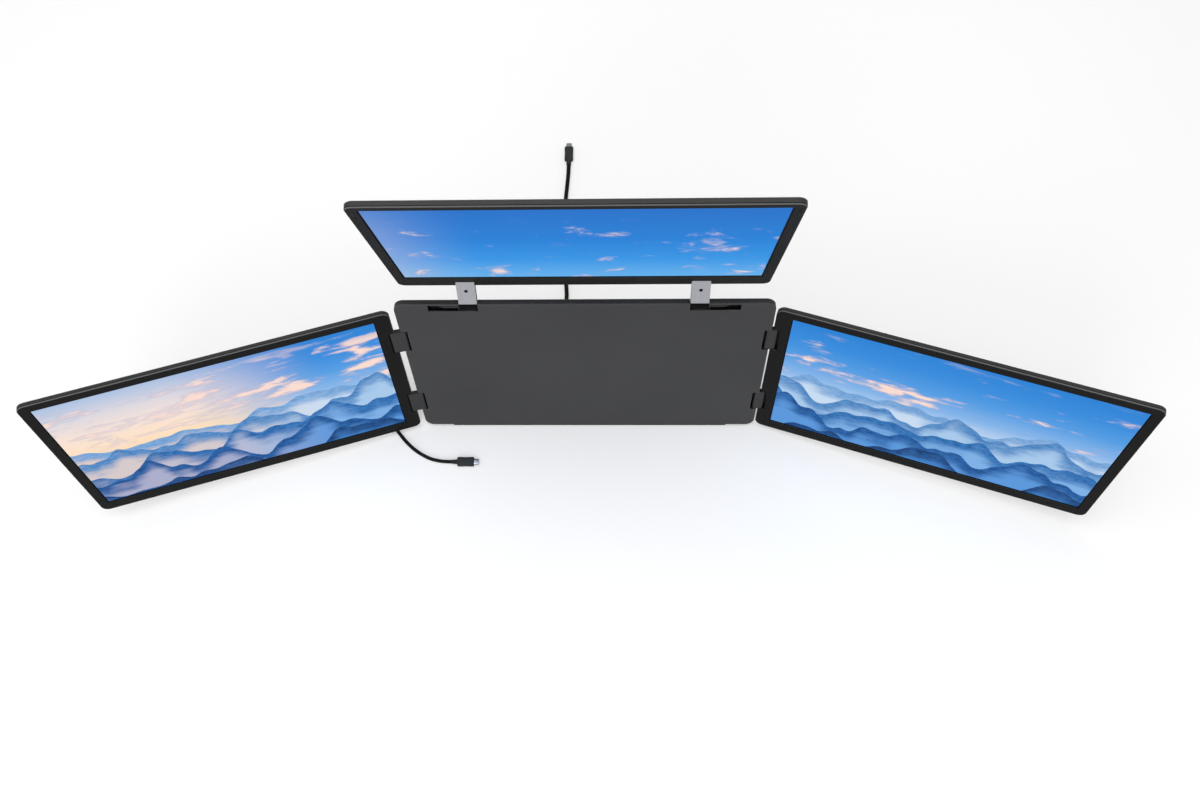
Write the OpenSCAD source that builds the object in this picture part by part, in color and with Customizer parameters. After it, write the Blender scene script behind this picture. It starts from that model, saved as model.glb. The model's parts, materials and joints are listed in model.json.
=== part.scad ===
// Laptop screen extender: a free-standing centre panel with a display on each side and one on top.
// All three displays fold flat over the panel on double-axis hinges of different reach.
// Millimetres. X to the right, Y away from the viewer, Z up. The origin is the middle of the foot strip.

/* [Centre panel] */
// Width of the centre panel
panel_w = 456; // [440:1:500]
// Height of the centre panel along its face
panel_h = 274; // [272:1:310]
// Thickness of the centre panel
panel_t = 9; // [8.6:0.1:12]
// Corner radius of the centre panel
panel_corner = 12; // [8:0.5:16]
// Thickness of the front cover's plate
front_cover_t = 2.2; // [1.6:0.1:2.6]
// Wall of the moulded shells
shell_wall = 1.5; // [1:0.1:1.8]
// Chamfer along the front edges
front_chamfer = 0.8; // [0.3:0.1:1.1]
// Chamfer along the rear edges
rear_chamfer = 1.4; // [0.5:0.1:1.6]
// Width of the shadow groove between a front piece and its rear shell
groove_w = 0.9; // [0.3:0.1:1.2]
// Backward lean of the panel from upright
lean = 14; // [8:1:25]
// Height of the panel's front lower edge above the table
foot_height = 6; // [5:0.5:12]
// Length of the rubber foot strip
foot_strip_l = 380; // [200:10:420]

/* [Displays] */
// Width of the lit area
screen_w = 409.8; // [380:0.1:420]
// Height of the lit area
screen_h = 230.5; // [220:0.1:233]
// Thickness of a display
display_t = 7.5; // [7.2:0.1:8]
// Corner radius of a display
display_corner = 10; // [6:0.5:11]
// Thickness of the bezel frame
bezel_t = 1.2; // [0.8:0.1:1.4]
// Thickness of the LCD panel
lcd_t = 2.6; // [2:0.1:2.8]
// Width of the rim by which the LCD panel lies behind the bezel
lcd_rim = 3; // [1:0.5:4]
// Side display, bezel beside the hinge
side_bezel_inner = 19; // [18:0.5:22]
// Side display, bezel at the outer edge
side_bezel_outer = 12; // [8:0.5:16]
// Side display, bezel below the lit area
side_bezel_bottom = 16.5; // [14:0.5:18]
// Side display, bezel above the lit area
side_bezel_top = 12; // [8:0.5:12]
// Height of the side displays above the panel's lower edge
side_raise = 2; // [0:0.5:4]
// Top display, bezel at each side
top_bezel_side = 11.5; // [8:0.5:14]
// Top display, bezel below the lit area, which takes the arms
top_bezel_bottom = 30; // [26:0.5:34]
// Top display, bezel above the lit area
top_bezel_top = 9; // [7:0.5:12]

/* [Side hinges] */
// Length of each link plate along its pins
link_height = 40; // [30:1:50]
// Thickness of the links
link_t = 5.6; // [5:0.1:5.8]
// Middle of the upper links above the panel's lower edge
link_upper_z = 200; // [180:1:210]
// Middle of the lower links above the panel's lower edge
link_lower_z = 61; // [50:1:90]
// Distance between the left links' pins
left_link_reach = 15.7; // [15.5:0.1:17]
// Turn of the left links out of the panel's plane
left_link_turn = 12; // [0:1:20]
// Turn of the left display out of the panel's plane
left_wing_turn = 18; // [12:1:30]
// Distance of the left pins from the edges
left_pin_edge = 4; // [3.8:0.1:4.2]
// Depth of the left pins below the front faces
left_pin_depth = 3; // [2.9:0.1:3.1]
// Distance between the right links' pins
right_link_reach = 9.2; // [9.2:0.1:9.4]
// Turn of the right display out of the panel's plane
right_wing_turn = 19; // [12:1:30]
// Distance of the right pins from the edges
right_pin_edge = 3.2; // [3.1:0.1:3.3]
// Depth of the right pins below the front faces
right_pin_depth = 3.8; // [3.6:0.1:3.9]
// Diameter of the side hinge pins
pin_d = 2.4; // [2:0.1:2.6]
// Radial clearance of a turning pin in its bore
pin_play = 0.05; // [0.03:0.01:0.09]
// Gap between a link and the ends of its notch
link_gap = 0.4; // [0.3:0.1:0.8]
// Depth of the hinge notches in the edges
notch_depth = 9; // [8:0.1:10]
// Depth of the hinge notches in the left display's edge
left_display_notch = 7.6; // [7.5:0.1:9]
// Height of a knuckle of the steel brackets
knuckle_h = 7; // [5:0.5:9]

/* [Top hinge] */
// Distance between the two pins of a top arm
arm_reach = 40; // [38:0.5:46]
// Width of a top arm
arm_w = 22; // [18:0.5:30]
// Thickness of a top arm
arm_t = 7; // [6.4:0.1:7.2]
// Thickness of the aluminium cover plate on an arm
arm_plate_t = 1.2; // [0.8:0.1:1.4]
// Sideways place of each arm from the middle
arm_x = 137.5; // [100:0.5:150]
// Backward turn of the arms from the panel's plane
arm_turn = 9; // [4:1:12]
// Forward turn of the top display from the panel's plane
top_turn = 23; // [16:1:30]
// Distance of the lower shafts from the panel's top edge
arm_shaft_drop = 6.5; // [6.2:0.1:7]
// Distance of the upper shafts from the display's lower edge
arm_shaft_rise = 8; // [7:0.5:10]
// Diameter of the arm shafts
shaft_d = 3.6; // [3:0.1:4]
// Diameter of the friction barrels
barrel_d = 6.2; // [5.6:0.1:6.4]
// Length of the friction barrels
barrel_l = 22; // [16:1:28]
// Length of the window in the cover beside each arm
barrel_window_l = 38; // [34:1:42]
// Side gap between an arm and its notch
arm_gap = 0.5; // [0.3:0.1:1]
// Length of a knuckle that holds an upper shaft
top_knuckle_l = 8; // [5:0.5:12]

/* [Kickstand] */
// Width over both legs
kick_w = 300; // [260:5:340]
// Width of a leg
kick_leg_w = 36; // [25:1:45]
// Thickness of the kickstand plate
kick_t = 3; // [2.5:0.1:4]
// Distance of the kickstand's axis from the panel's top edge
kick_drop = 38; // [36:1:44]
// Height of the cross plate that joins the legs
kick_bridge_h = 34; // [24:1:44]
// Distance of the rear feet behind the origin
kick_stance = 100; // [80:1:104]
// Gap between the folded kickstand and the rear cover
kick_gap = 0.6; // [0.4:0.1:1.5]
// Diameter of the kickstand's hinge eyes
kick_eye_d = 6; // [5:0.1:7]
// Diameter of the rubber rollers at the leg ends
kick_pad_d = 6; // [5:0.1:7]

/* [Port housing] */
// Width of the raised housing at the back
port_w = 120; // [100:1:140]
// Height of the housing's lower edge above the panel's lower edge
port_z = 70; // [70:1:90]
// Height of the housing
port_h = 40; // [30:1:60]
// How far the housing stands out of the rear cover
port_out = 10; // [10:0.5:14]
// Distance between neighbouring sockets
port_pitch = 30; // [20:1:34]

/* [Keys and bumpers] */
// Length of a menu key
key_l = 14; // [8:1:20]
// Width of a menu key
key_w = 2.6; // [2:0.1:2.8]
// How far a key stands out of the edge
key_out = 0.8; // [0.6:0.1:1.2]
// Distance of the keys from the display's lower edge
key_rise = 40; // [25:1:60]
// Length of a rubber bumper
bumper_l = 22; // [12:1:30]
// Width of a rubber bumper
bumper_w = 2.6; // [2:0.1:4]
// How far a bumper stands proud of the bezel
bumper_out = 0.2; // [0.1:0.05:0.3]
// Distance of the bumpers from the ends of the lit area
bumper_inset = 28; // [20:1:60]

/* [Cables] */
// Diameter of the laptop cable
laptop_cable_d = 5; // [4.5:0.1:5.2]
// Diameter of the power cable
power_cable_d = 6; // [5:0.1:6.2]
// Mean radius of the stored laptop cable
laptop_coil_r = 27.5; // [26:0.5:30]
// Mean radius of the stored power cable
power_coil_r = 33; // [31:0.5:36]
// Length of a plug's grip
plug_l = 23; // [20:0.5:26]
// Width of a plug's grip
plug_w = 12.5; // [11:0.5:13]
// Thickness of a plug's grip
plug_t = 6.8; // [6.2:0.1:7.4]

/* [Hidden] */
$fn = 64;

LEFT = -1;
RIGHT = 1;
SIDES = [LEFT, RIGHT];
EPS = 0.01;             // overlap that makes a cut clean

// Values of the left or right hinge
function pin_edge(s) = s == LEFT ? left_pin_edge : right_pin_edge;
function pin_depth(s) = s == LEFT ? left_pin_depth : right_pin_depth;
function display_notch(s) = s == LEFT ? left_display_notch : notch_depth;
function link_reach(s) = s == LEFT ? left_link_reach : right_link_reach;
function link_turn(s) = s == LEFT ? left_link_turn : 0;
function wing_turn(s) = s == LEFT ? left_wing_turn : right_wing_turn;
link_zs = [link_upper_z, link_lower_z];

// Outer sizes of the displays
side_w = screen_w + side_bezel_inner + side_bezel_outer;
side_h = screen_h + side_bezel_bottom + side_bezel_top;
top_w = screen_w + 2 * top_bezel_side;
top_h = screen_h + top_bezel_bottom + top_bezel_top;

// Inside of the shells
pocket_back = panel_t - shell_wall;
groove_d = shell_wall / 2;      // depth of the shadow groove
display_back_wall = 1;          // thin back wall of a display shell
notch_wall = 1.2;               // wall round a hinge notch
board_t = 1.2;                  // thickness of the circuit boards
fit = 0.2;                      // gap between pieces that are fixed in a shell

// Arms and their notches
arm_r = arm_t / 2;
arm_shaft_depth = panel_t - shell_wall - fit / 2 - barrel_d / 2;    // barrels lie in the rear cover
arm_notch_w = arm_w + 2 * arm_gap;
arm_notch_drop = arm_shaft_drop + arm_r + 3;
arm_end = arm_r + 0.2;          // the cover plate ends this far past the upper shaft
arm_swing = norm([arm_r, arm_end]);     // how far the plate's upper corner reaches round that shaft

// Kickstand
kick_axis_y = panel_t + kick_gap + kick_eye_d / 2;
kick_axis_z = panel_h - kick_drop;
kick_axis = [-panel_t / 2 + kick_axis_y * cos(lean) + kick_axis_z * sin(lean),
             foot_height - kick_axis_y * sin(lean) + kick_axis_z * cos(lean)];
kick_plate_y = kick_eye_d / 2 - kick_t;     // front face of the plate, seen from the axis
kick_mid_y = kick_plate_y + kick_t / 2;
kick_span = [kick_stance - kick_axis[0], kick_axis[1] - kick_pad_d / 2];    // axis to the middle of the pads
kick_reach = sqrt(kick_span * kick_span - kick_mid_y * kick_mid_y);
kick_open = lean + atan2(kick_span[0], kick_span[1]) - atan2(kick_mid_y, kick_reach);
kick_leg_in = kick_w / 2 - kick_leg_w;

// Cables, routes in millimetres on the table
laptop_port_x = -port_pitch;
power_port_x = port_pitch;
port_y = panel_t + port_out / 2;
head_l = 20;                    // grip of a plug that sits in its socket
relief_l = 10;                  // strain relief behind that grip
tip_l = 6.6;                    // metal tip of a plug
laptop_coil_at = [-195, 147.5];
power_coil_at = [0, 130];
laptop_start_route = [
    [-30, 16.4, 31.7], [-30, 16.2, 21], [-30, 20.7, 11.5], [-30, 28.9, 4.9], [-30, 39, 2.5],
    [-31, 52, 2.5], [-36, 66, 2.5], [-47, 80, 2.5], [-62, 92, 2.5], [-80, 102, 2.5], [-100, 109, 2.5],
    [-120, 113, 2.5], [-142, 115, 2.5], [-168, 117, 2.5], [-195, 117.5, 2.5]
];
laptop_end_route = [
    [-195, 120, 7], [-212, 120.3, 6.9], [-230, 121, 4.4], [-250, 121.5, 2.5], [-270, 120, 2.5],
    [-288, 114, 2.5], [-302, 102, 2.5], [-310, 86, 2.5], [-312, 68, 2.5], [-309, 50, 2.5],
    [-302, 33, 2.5], [-292, 17, 2.5], [-280, 1, 2.5], [-268, -15, 2.5], [-255, -30, 2.5],
    [-244, -40, 2.5], [-232, -48, 2.5], [-219, -54, 2.5], [-205, -57, 2.5], [-190, -58, 3.4]
];
power_start_route = [
    [30, 16.4, 31.7], [30, 16.2, 21], [30, 20.7, 11.8], [30, 28.9, 5.2], [30, 39, 3],
    [30, 50, 3], [29, 61, 3], [25, 72, 3], [18, 82, 3], [10, 88, 3], [0, 91, 3]
];
power_end_route = [
    [-36, 130, 8.5], [-36, 139, 9.2], [-36, 147, 9.2], [-36, 157, 8.2], [-35.5, 168, 5.2], [-35, 180, 3],
    [-34, 192, 3], [-35, 211, 3], [-37, 240, 3], [-37.5, 280, 3], [-37.5, 320, 3], [-37.5, 352, 3],
    [-36, 372, 3], [-34.5, 392, 3], [-34, 408, 3.4]
];

// ---------------------------------------------------------------- frames

// The leaning panel: x across, y from its front face backwards, z up along the face
module panel_frame() {
    translate([0, -panel_t / 2, foot_height])
        rotate([-lean, 0, 0])
            children();
}

// The left side is the mirror image of the right side
module on_side(s) {
    if (s == LEFT)
        mirror([1, 0, 0]) children();
    else
        children();
}

// A side display, from its hinge axis: x outwards, y backwards, z up
module display_frame(s) {
    panel_frame()
        on_side(s)
            translate([panel_w / 2 - pin_edge(s) + link_reach(s) * cos(link_turn(s)),
                       pin_depth(s) - link_reach(s) * sin(link_turn(s)), 0])
                rotate([0, 0, -wing_turn(s)])
                    children();
}

// A side link, from its inner pin: x towards the outer pin
module link_frame(s) {
    panel_frame()
        on_side(s)
            translate([panel_w / 2 - pin_edge(s), pin_depth(s), 0])
                rotate([0, 0, -link_turn(s)])
                    children();
}

// The arms, from the lower shafts: z towards the upper shafts
module arm_frame() {
    panel_frame()
        translate([0, arm_shaft_depth, panel_h - arm_shaft_drop])
            rotate([-arm_turn, 0, 0])
                children();
}

// The top display, from the upper shafts
module top_frame() {
    arm_frame()
        translate([0, 0, arm_reach])
            rotate([arm_turn + top_turn, 0, 0])
                children();
}

// The kickstand, from its axis: the legs point along -z
module kick_frame() {
    panel_frame()
        translate([0, kick_axis_y, kick_axis_z])
            rotate([kick_open, 0, 0])
                children();
}

// ---------------------------------------------------------------- shapes that repeat

// Outline of a slab's edge in half width and depth: both chamfers, and the groove behind the parting depth
function edge_profile(r, t, part) = [
    [0, 0], [r - front_chamfer, 0], [r, front_chamfer],
    [r, part], [r - groove_d, part], [r - groove_d, part + groove_w], [r, part + groove_w],
    [r, t - rear_chamfer], [r - rear_chamfer, t], [0, t]
];

// A flat slab with round corners, front at y = 0, centred in x, lower edge at z = 0
module slab(w, h, t, r, part) {
    cut = max(part, front_chamfer + EPS);
    for (x = [-1, 1])
        for (z = [r, h - r])
            translate([x * (w / 2 - r), 0, z])
                rotate([-90, 0, 0])
                    rotate_extrude()
                        polygon(edge_profile(r, t, cut));
    translate([0, 0, r])
        linear_extrude(h - 2 * r)
            union() {
                polygon(edge_profile(w / 2, t, cut));
                mirror([1, 0]) polygon(edge_profile(w / 2, t, cut));
            }
    translate([w / 2 - r, 0, h / 2])
        rotate([0, -90, 0])
            linear_extrude(w - 2 * r)
                union() {
                    polygon(edge_profile(h / 2, t, cut));
                    mirror([1, 0]) polygon(edge_profile(h / 2, t, cut));
                }
}

// The hollow of a slab between two depths: it leaves the shells' wall all round, also in the corners
module pocket(w, h, y0, y1, r) {
    translate([0, y1, 0])
        rotate([90, 0, 0])
            linear_extrude(y1 - y0)
                union() {
                    translate([-w / 2 + shell_wall, r])
                        square([w - 2 * shell_wall, h - 2 * r]);
                    translate([-w / 2 + r, shell_wall])
                        square([w - 2 * r, h - 2 * shell_wall]);
                    for (x = [-1, 1])
                        for (z = [r, h - r])
                            translate([x * (w / 2 - r), z])
                                circle(r = r - shell_wall);
                }
}

// The layer of a part between two depths
module layer(y0, y1, w, h) {
    translate([-w / 2 - 1, y0, -1])
        cube([w + 2, y1 - y0, h + 2]);
}

// A block given by its lowest and highest corner
module block(a, b) {
    translate(a)
        cube(b - a);
}

// A round bar along x from x0 to x1
module bar_x(x0, x1, d) {
    translate([x0, 0, 0])
        rotate([0, 90, 0])
            cylinder(d = d, h = x1 - x0);
}

// A round bar along z, centred
module bar_z(d, h) {
    translate([0, 0, -h / 2])
        cylinder(d = d, h = h);
}

// A flat bar with round ends between two axes a distance l apart along x, centred in z
module link_bar(l, t, h) {
    linear_extrude(h, center = true)
        union() {
            circle(d = t);
            translate([l, 0]) circle(d = t);
            translate([0, -t / 2]) square([l, t]);
        }
}

// ---------------------------------------------------------------- side hinges

link_slot_h = link_height + 2 * link_gap;
side_pin_l = link_slot_h + 2 * (notch_wall + knuckle_h);

// Cuts one notch per link into an edge at x = 0, the body lying towards -x. A notch ends at the depth back.
module link_notches(depth, back, extra = 0) {
    for (z = link_zs)
        block([-depth - extra, -1, z - link_slot_h / 2 - extra],
              [1, back + extra, z + link_slot_h / 2 + extra]);
}

// Bores for the pins beside each notch, seen from the pin axis
module pin_bores() {
    for (z = link_zs)
        translate([0, 0, z])
            bar_z(pin_d + 2 * pin_play, side_pin_l + 0.4);
}

// A steel bracket in C shape per link: two knuckles and a spine behind a notch, seen from the pin axis
module c_brackets(edge, depth, y0, y1) {
    spine = 5;
    back = depth + notch_wall + fit - edge;
    inner = link_slot_h / 2 + notch_wall + fit;
    outer = inner + knuckle_h - fit;
    for (z = link_zs)
        translate([0, 0, z])
            difference() {
                union() {
                    block([-back - spine, y0, -outer], [-back, y1, outer]);
                    for (m = [0, 1])
                        mirror([0, 0, m])
                            block([-back - spine, y0, inner], [edge - shell_wall - 0.1, y1, outer]);
                }
                bar_z(pin_d, side_pin_l + 2);
            }
}

// The two pins of one axis
module side_pins() {
    for (z = link_zs)
        translate([0, 0, z])
            bar_z(pin_d, side_pin_l);
}

// One link plate with its two bores
module side_link(s, z) {
    color("#3b3b3d")
        link_frame(s)
            translate([0, 0, z])
                difference() {
                    link_bar(link_reach(s), link_t, link_height);
                    for (x = [0, link_reach(s)])
                        translate([x, 0, 0])
                            bar_z(pin_d + 2 * pin_play, link_height + 1);
                }
}

module left_upper_link() { side_link(LEFT, link_upper_z); }
module left_lower_link() { side_link(LEFT, link_lower_z); }
module right_upper_link() { side_link(RIGHT, link_upper_z); }
module right_lower_link() { side_link(RIGHT, link_lower_z); }

// ---------------------------------------------------------------- centre panel

module panel_slab() {
    slab(panel_w, panel_h, panel_t, panel_corner, front_cover_t);
}

// Notches for the links and arms, widened by extra
module panel_notches(extra = 0) {
    for (s = SIDES) {
        on_side(s)
            translate([panel_w / 2, 0, 0])
                link_notches(notch_depth, pocket_back, extra);
        block([s * arm_x - arm_notch_w / 2 - extra, -1, panel_h - arm_notch_drop - extra],
              [s * arm_x + arm_notch_w / 2 + extra, panel_t + 1, panel_h + 1]);
    }
}

// Bores for the inner pins and the lower shafts in the panel's shells
module panel_bores() {
    for (s = SIDES)
        on_side(s)
            translate([panel_w / 2 - pin_edge(s), pin_depth(s), 0])
                pin_bores();
    translate([0, arm_shaft_depth, panel_h - arm_shaft_drop])
        for (s = SIDES)
            on_side(s)
                bar_x(arm_x - arm_notch_w / 2 - notch_wall - fit - bearing_l - 1,
                      arm_x + arm_notch_w / 2 + notch_wall + fit, shaft_d + 2 * pin_play);
}

// Windows in the front beside the arms, through which the barrels show
module barrel_windows() {
    for (s = SIDES)
        on_side(s)
            block([arm_x + arm_notch_w / 2 - EPS, -1, panel_h - arm_notch_drop],
                  [arm_x + arm_w / 2 + barrel_window_l, front_cover_t + 1, panel_h - shell_wall]);
}

module centre_front_cover() {
    color("#444446")
        panel_frame()
            difference() {
                intersection() {
                    panel_slab();
                    layer(-1, front_cover_t, panel_w, panel_h);
                }
                panel_notches();
                panel_bores();
                barrel_windows();
            }
}

// Slots that let the heat out of the rear cover
vent_n = 9;
vent_pitch = 9;
vent_w = 3;
vent_h = 28;
module vents() {
    for (i = [0 : vent_n - 1])
        translate([(i - (vent_n - 1) / 2) * vent_pitch - vent_w / 2, pocket_back - 1, port_z + port_h + 12])
            cube([vent_w, panel_t, vent_h]);
}

socket_w = 9;
socket_t = 3.2;
socket_l = 7.4;

module centre_rear_cover() {
    color("#3a3a3c")
        panel_frame()
            difference() {
                union() {
                    difference() {
                        intersection() {
                            panel_slab();
                            layer(front_cover_t, panel_t + 1, panel_w, panel_h);
                        }
                        difference() {
                            pocket(panel_w, panel_h, 0, pocket_back, panel_corner);
                            panel_notches(notch_wall);
                        }
                    }
                    board_bosses();
                    difference() {
                        translate([-port_w / 2, panel_t - EPS, port_z])
                            rotate([-90, 0, 0])
                                translate([0, -port_h, 0])
                                    port_shell();
                        block([-port_w / 2 + 2, panel_t - 1, port_z + 2],
                              [port_w / 2 - 2, panel_t + port_out - 2, port_z + port_h - 2]);
                    }
                }
                block([-port_w / 2 + 3, pocket_back - 1, port_z + 3],
                      [port_w / 2 - 3, panel_t + 1, port_z + port_h - 3]);
                panel_notches();
                panel_bores();
                vents();
                for (x = [-1, 0, 1])
                    block([x * port_pitch - socket_w / 2 - fit, port_y - socket_t / 2 - fit, port_z - 1],
                          [x * port_pitch + socket_w / 2 + fit, port_y + socket_t / 2 + fit, port_z + 3]);
            }
}

// The raised port housing, a block with chamfered outer edges
module port_shell() {
    c = 3;
    rotate([0, 90, 0])
        linear_extrude(port_w)
            polygon([[0, 0], [-port_out + c, 0], [-port_out, c], [-port_out, port_h - c],
                     [-port_out + c, port_h], [0, port_h]]);
}

main_board_w = 180;
main_board_h = 90;
main_board_y = front_cover_t + 1;
main_board_z = port_z + 6;
main_chip_w = 22;
main_chip_t = 1.4;
main_chip_pitch = 50;
main_chip_rise = 44;            // above the board's lower edge

// Bosses in the rear cover that carry the main board at its corners
module board_bosses() {
    for (x = [-1, 1])
        for (z = [5, main_board_h - 5])
            translate([x * (main_board_w / 2 - 5), main_board_y + board_t, main_board_z + z])
                rotate([-90, 0, 0])
                    cylinder(d = 6, h = pocket_back - main_board_y - board_t + EPS);
}

module main_board() {
    chip_y = main_board_y + board_t;
    color("#2f6b3f")
        panel_frame() {
            block([-main_board_w / 2, main_board_y, main_board_z],
                  [main_board_w / 2, chip_y, main_board_z + main_board_h]);
            for (x = [-1, 0, 1])
                translate([x * main_chip_pitch - main_chip_w / 2, chip_y - EPS,
                           main_board_z + main_chip_rise])
                    cube([main_chip_w, main_chip_t + EPS, main_chip_w]);
        }
}

module port_sockets() {
    color("#b8bcc2")
        panel_frame() {
            for (x = [-1, 0, 1])
                translate([x * port_pitch, port_y, port_z])
                    difference() {
                        block([-socket_w / 2, -socket_t / 2, 0], [socket_w / 2, socket_t / 2, socket_l]);
                        block([-socket_w / 2 + 0.3, -socket_t / 2 + 0.3, -1],
                              [socket_w / 2 - 0.3, socket_t / 2 - 0.3, socket_l - 0.6]);
                    }
            block([-port_w / 2 + 4, port_y - socket_t / 2 - board_t, port_z + 3.2],
                  [port_w / 2 - 4, port_y - socket_t / 2, port_z + port_h - 4]);
        }
}

// Steel brackets that hold the side hinges in the panel
module panel_bracket(s) {
    color("#6a6c70")
        panel_frame()
            on_side(s)
                translate([panel_w / 2 - pin_edge(s), pin_depth(s), 0])
                    c_brackets(pin_edge(s), notch_depth, front_cover_t + 0.1 - pin_depth(s),
                               pocket_back - 0.1 - pin_depth(s));
}

module left_panel_bracket() { panel_bracket(LEFT); }
module right_panel_bracket() { panel_bracket(RIGHT); }

module inner_pins(s) {
    color("#9fa3a8")
        panel_frame()
            on_side(s)
                translate([panel_w / 2 - pin_edge(s), pin_depth(s), 0])
                    side_pins();
}

module left_inner_pins() { inner_pins(LEFT); }
module right_inner_pins() { inner_pins(RIGHT); }

// Friction barrels beside the arms, each with a leaf and a tapered end, and the inner bearings
bearing_l = 5;
bearing_h = 14;                 // below the shafts
barrel_leaf_h = 24;
barrel_leaf_t = 2;
barrel_taper_l = 5;
barrel_tip_d = 3.4;
module top_hinge_barrels() {
    near = arm_x + arm_notch_w / 2 + notch_wall + fit;
    inner = arm_x - arm_notch_w / 2 - notch_wall - fit;
    color("#1c1c1e")
        panel_frame()
            for (s = SIDES)
                on_side(s)
                    translate([0, arm_shaft_depth, panel_h - arm_shaft_drop])
                        difference() {
                            union() {
                                bar_x(near, near + barrel_l - barrel_taper_l, barrel_d);
                                translate([near + barrel_l - barrel_taper_l, 0, 0])
                                    rotate([0, 90, 0])
                                        cylinder(d1 = barrel_d, d2 = barrel_tip_d, h = barrel_taper_l);
                                block([near, barrel_d / 2 - barrel_leaf_t, -barrel_leaf_h],
                                      [near + barrel_l - barrel_taper_l, barrel_d / 2, 0]);
                                block([inner - bearing_l, front_cover_t + 0.1 - arm_shaft_depth, -bearing_h],
                                      [inner, barrel_d / 2, barrel_d / 2]);
                            }
                            bar_x(inner - bearing_l - 1, near + barrel_l / 2 + 2, shaft_d);
                        }
}

module arm_lower_shafts() {
    color("#9fa3a8")
        panel_frame()
            translate([0, arm_shaft_depth, panel_h - arm_shaft_drop])
                for (s = SIDES)
                    on_side(s)
                        bar_x(arm_x - arm_notch_w / 2 - notch_wall - fit - bearing_l,
                              arm_x + arm_notch_w / 2 + barrel_l / 2 + 3, shaft_d);
}

// The foot strip fills the wedge between the table and the tilted lower edge
module foot_strip() {
    inset = 1;
    front = -panel_t / 2 + inset;
    back = -panel_t / 2 + panel_t * cos(lean) - inset;
    color("#161616")
        translate([-foot_strip_l / 2, 0, 0])
            rotate([90, 0, 90])
                linear_extrude(foot_strip_l)
                    polygon([[front, 0], [back, 0], [back, foot_height - (back + panel_t / 2) * tan(lean)],
                             [front, foot_height - inset * tan(lean)]]);
}

// ---------------------------------------------------------------- kickstand

kick_eye_l = 12;
kick_bracket_l = 6;
kick_side_gap = 0.3;            // between an eye and the ears beside it
kick_slot_gap = 0.8;            // between the ears and the plate cut out round them
kick_axis_x = kick_w / 2 - kick_leg_w / 2;

// Two pairs of ears on the rear cover, either side of each eye
module kickstand_brackets() {
    ear_x = kick_eye_l / 2 + kick_side_gap + kick_bracket_l / 2;
    color("#6a6c70")
        panel_frame()
            translate([0, kick_axis_y, kick_axis_z])
                for (s = SIDES)
                    for (e = SIDES)
                        translate([s * kick_axis_x + e * ear_x, 0, 0])
                            difference() {
                                union() {
                                    bar_x(-kick_bracket_l / 2, kick_bracket_l / 2, kick_eye_d);
                                    block([-kick_bracket_l / 2, -kick_eye_d / 2 - kick_gap, -kick_eye_d / 2],
                                          [kick_bracket_l / 2, 0, kick_eye_d / 2]);
                                }
                                bar_x(-kick_bracket_l, kick_bracket_l, pin_d);
                            }
}

module kickstand_pins() {
    l = kick_eye_l / 2 + kick_side_gap + kick_bracket_l;
    color("#9fa3a8")
        panel_frame()
            translate([0, kick_axis_y, kick_axis_z])
                for (s = SIDES)
                    translate([s * kick_axis_x, 0, 0])
                        bar_x(-l, l, pin_d);
}

module kickstand_frame() {
    slot_in = kick_eye_l / 2;
    slot_out = kick_eye_l / 2 + kick_side_gap + kick_bracket_l + kick_slot_gap;
    color("#8d9096")
        kick_frame()
            difference() {
                union() {
                    for (s = SIDES)
                        on_side(s) {
                            block([kick_leg_in, kick_plate_y, -kick_reach],
                                  [kick_w / 2, kick_plate_y + kick_t, 0]);
                            translate([kick_axis_x, 0, 0])
                                bar_x(-kick_eye_l / 2, kick_eye_l / 2, kick_eye_d);
                        }
                    block([-kick_w / 2, kick_plate_y, -kick_bridge_h],
                          [kick_w / 2, kick_plate_y + kick_t, 0]);
                }
                for (s = SIDES)
                    on_side(s)
                        translate([kick_axis_x, 0, 0]) {
                            for (e = SIDES)
                                on_side(e)
                                    block([slot_in, -kick_eye_d, -kick_eye_d / 2 - kick_slot_gap],
                                          [slot_out, kick_eye_d, kick_eye_d]);
                            bar_x(-kick_eye_l, kick_eye_l, pin_d + 2 * pin_play);
                        }
            }
}

// Round rubber boots, with a slot into which the leg's end goes
module kickstand_pads() {
    color("#161616")
        kick_frame()
            difference() {
                translate([0, kick_mid_y, -kick_reach])
                    for (s = SIDES)
                        on_side(s)
                            bar_x(kick_leg_in, kick_w / 2, kick_pad_d);
                block([-kick_w, kick_plate_y, -kick_reach], [kick_w, kick_plate_y + kick_t, 0]);
            }
}

// ---------------------------------------------------------------- displays

// A bezel frame: the front layer of the slab with the lit area cut out and seats for the bumpers
module bezel_frame(w, h, x0, z0, r) {
    intersection() {
        slab(w, h, display_t, r, bezel_t);
        difference() {
            layer(-1, bezel_t, w, h);
            block([x0, -2, z0], [x0 + screen_w, bezel_t + 1, z0 + screen_h]);
        }
    }
}

// A rear shell: the rest of the slab, hollowed from the front
module shell_body(w, h, r) {
    intersection() {
        slab(w, h, display_t, r, bezel_t);
        layer(bezel_t, display_t + 1, w, h);
    }
}

module lcd(x0, z0) {
    block([x0 - lcd_rim, bezel_t, z0 - lcd_rim],
          [x0 + screen_w + lcd_rim, bezel_t + lcd_t, z0 + screen_h + lcd_rim]);
}

// A circuit board with two chips behind the LCD panel
driver_board_w = 150;
driver_board_h = 36;
driver_board_rise = 8;          // above the lit area's lower edge
driver_chip_w = 24;
driver_chip_h = 18;
driver_chip_t = 0.8;
module driver_board(x_mid, z0) {
    y0 = bezel_t + lcd_t;
    block([x_mid - driver_board_w / 2, y0, z0],
          [x_mid + driver_board_w / 2, y0 + board_t, z0 + driver_board_h]);
    for (x = [-1, 1])
        translate([x_mid + x * driver_board_w / 4 - driver_chip_w / 2, y0 + board_t - EPS,
                   z0 + (driver_board_h - driver_chip_h) / 2])
            cube([driver_chip_w, driver_chip_t + EPS, driver_chip_h]);
}

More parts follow.
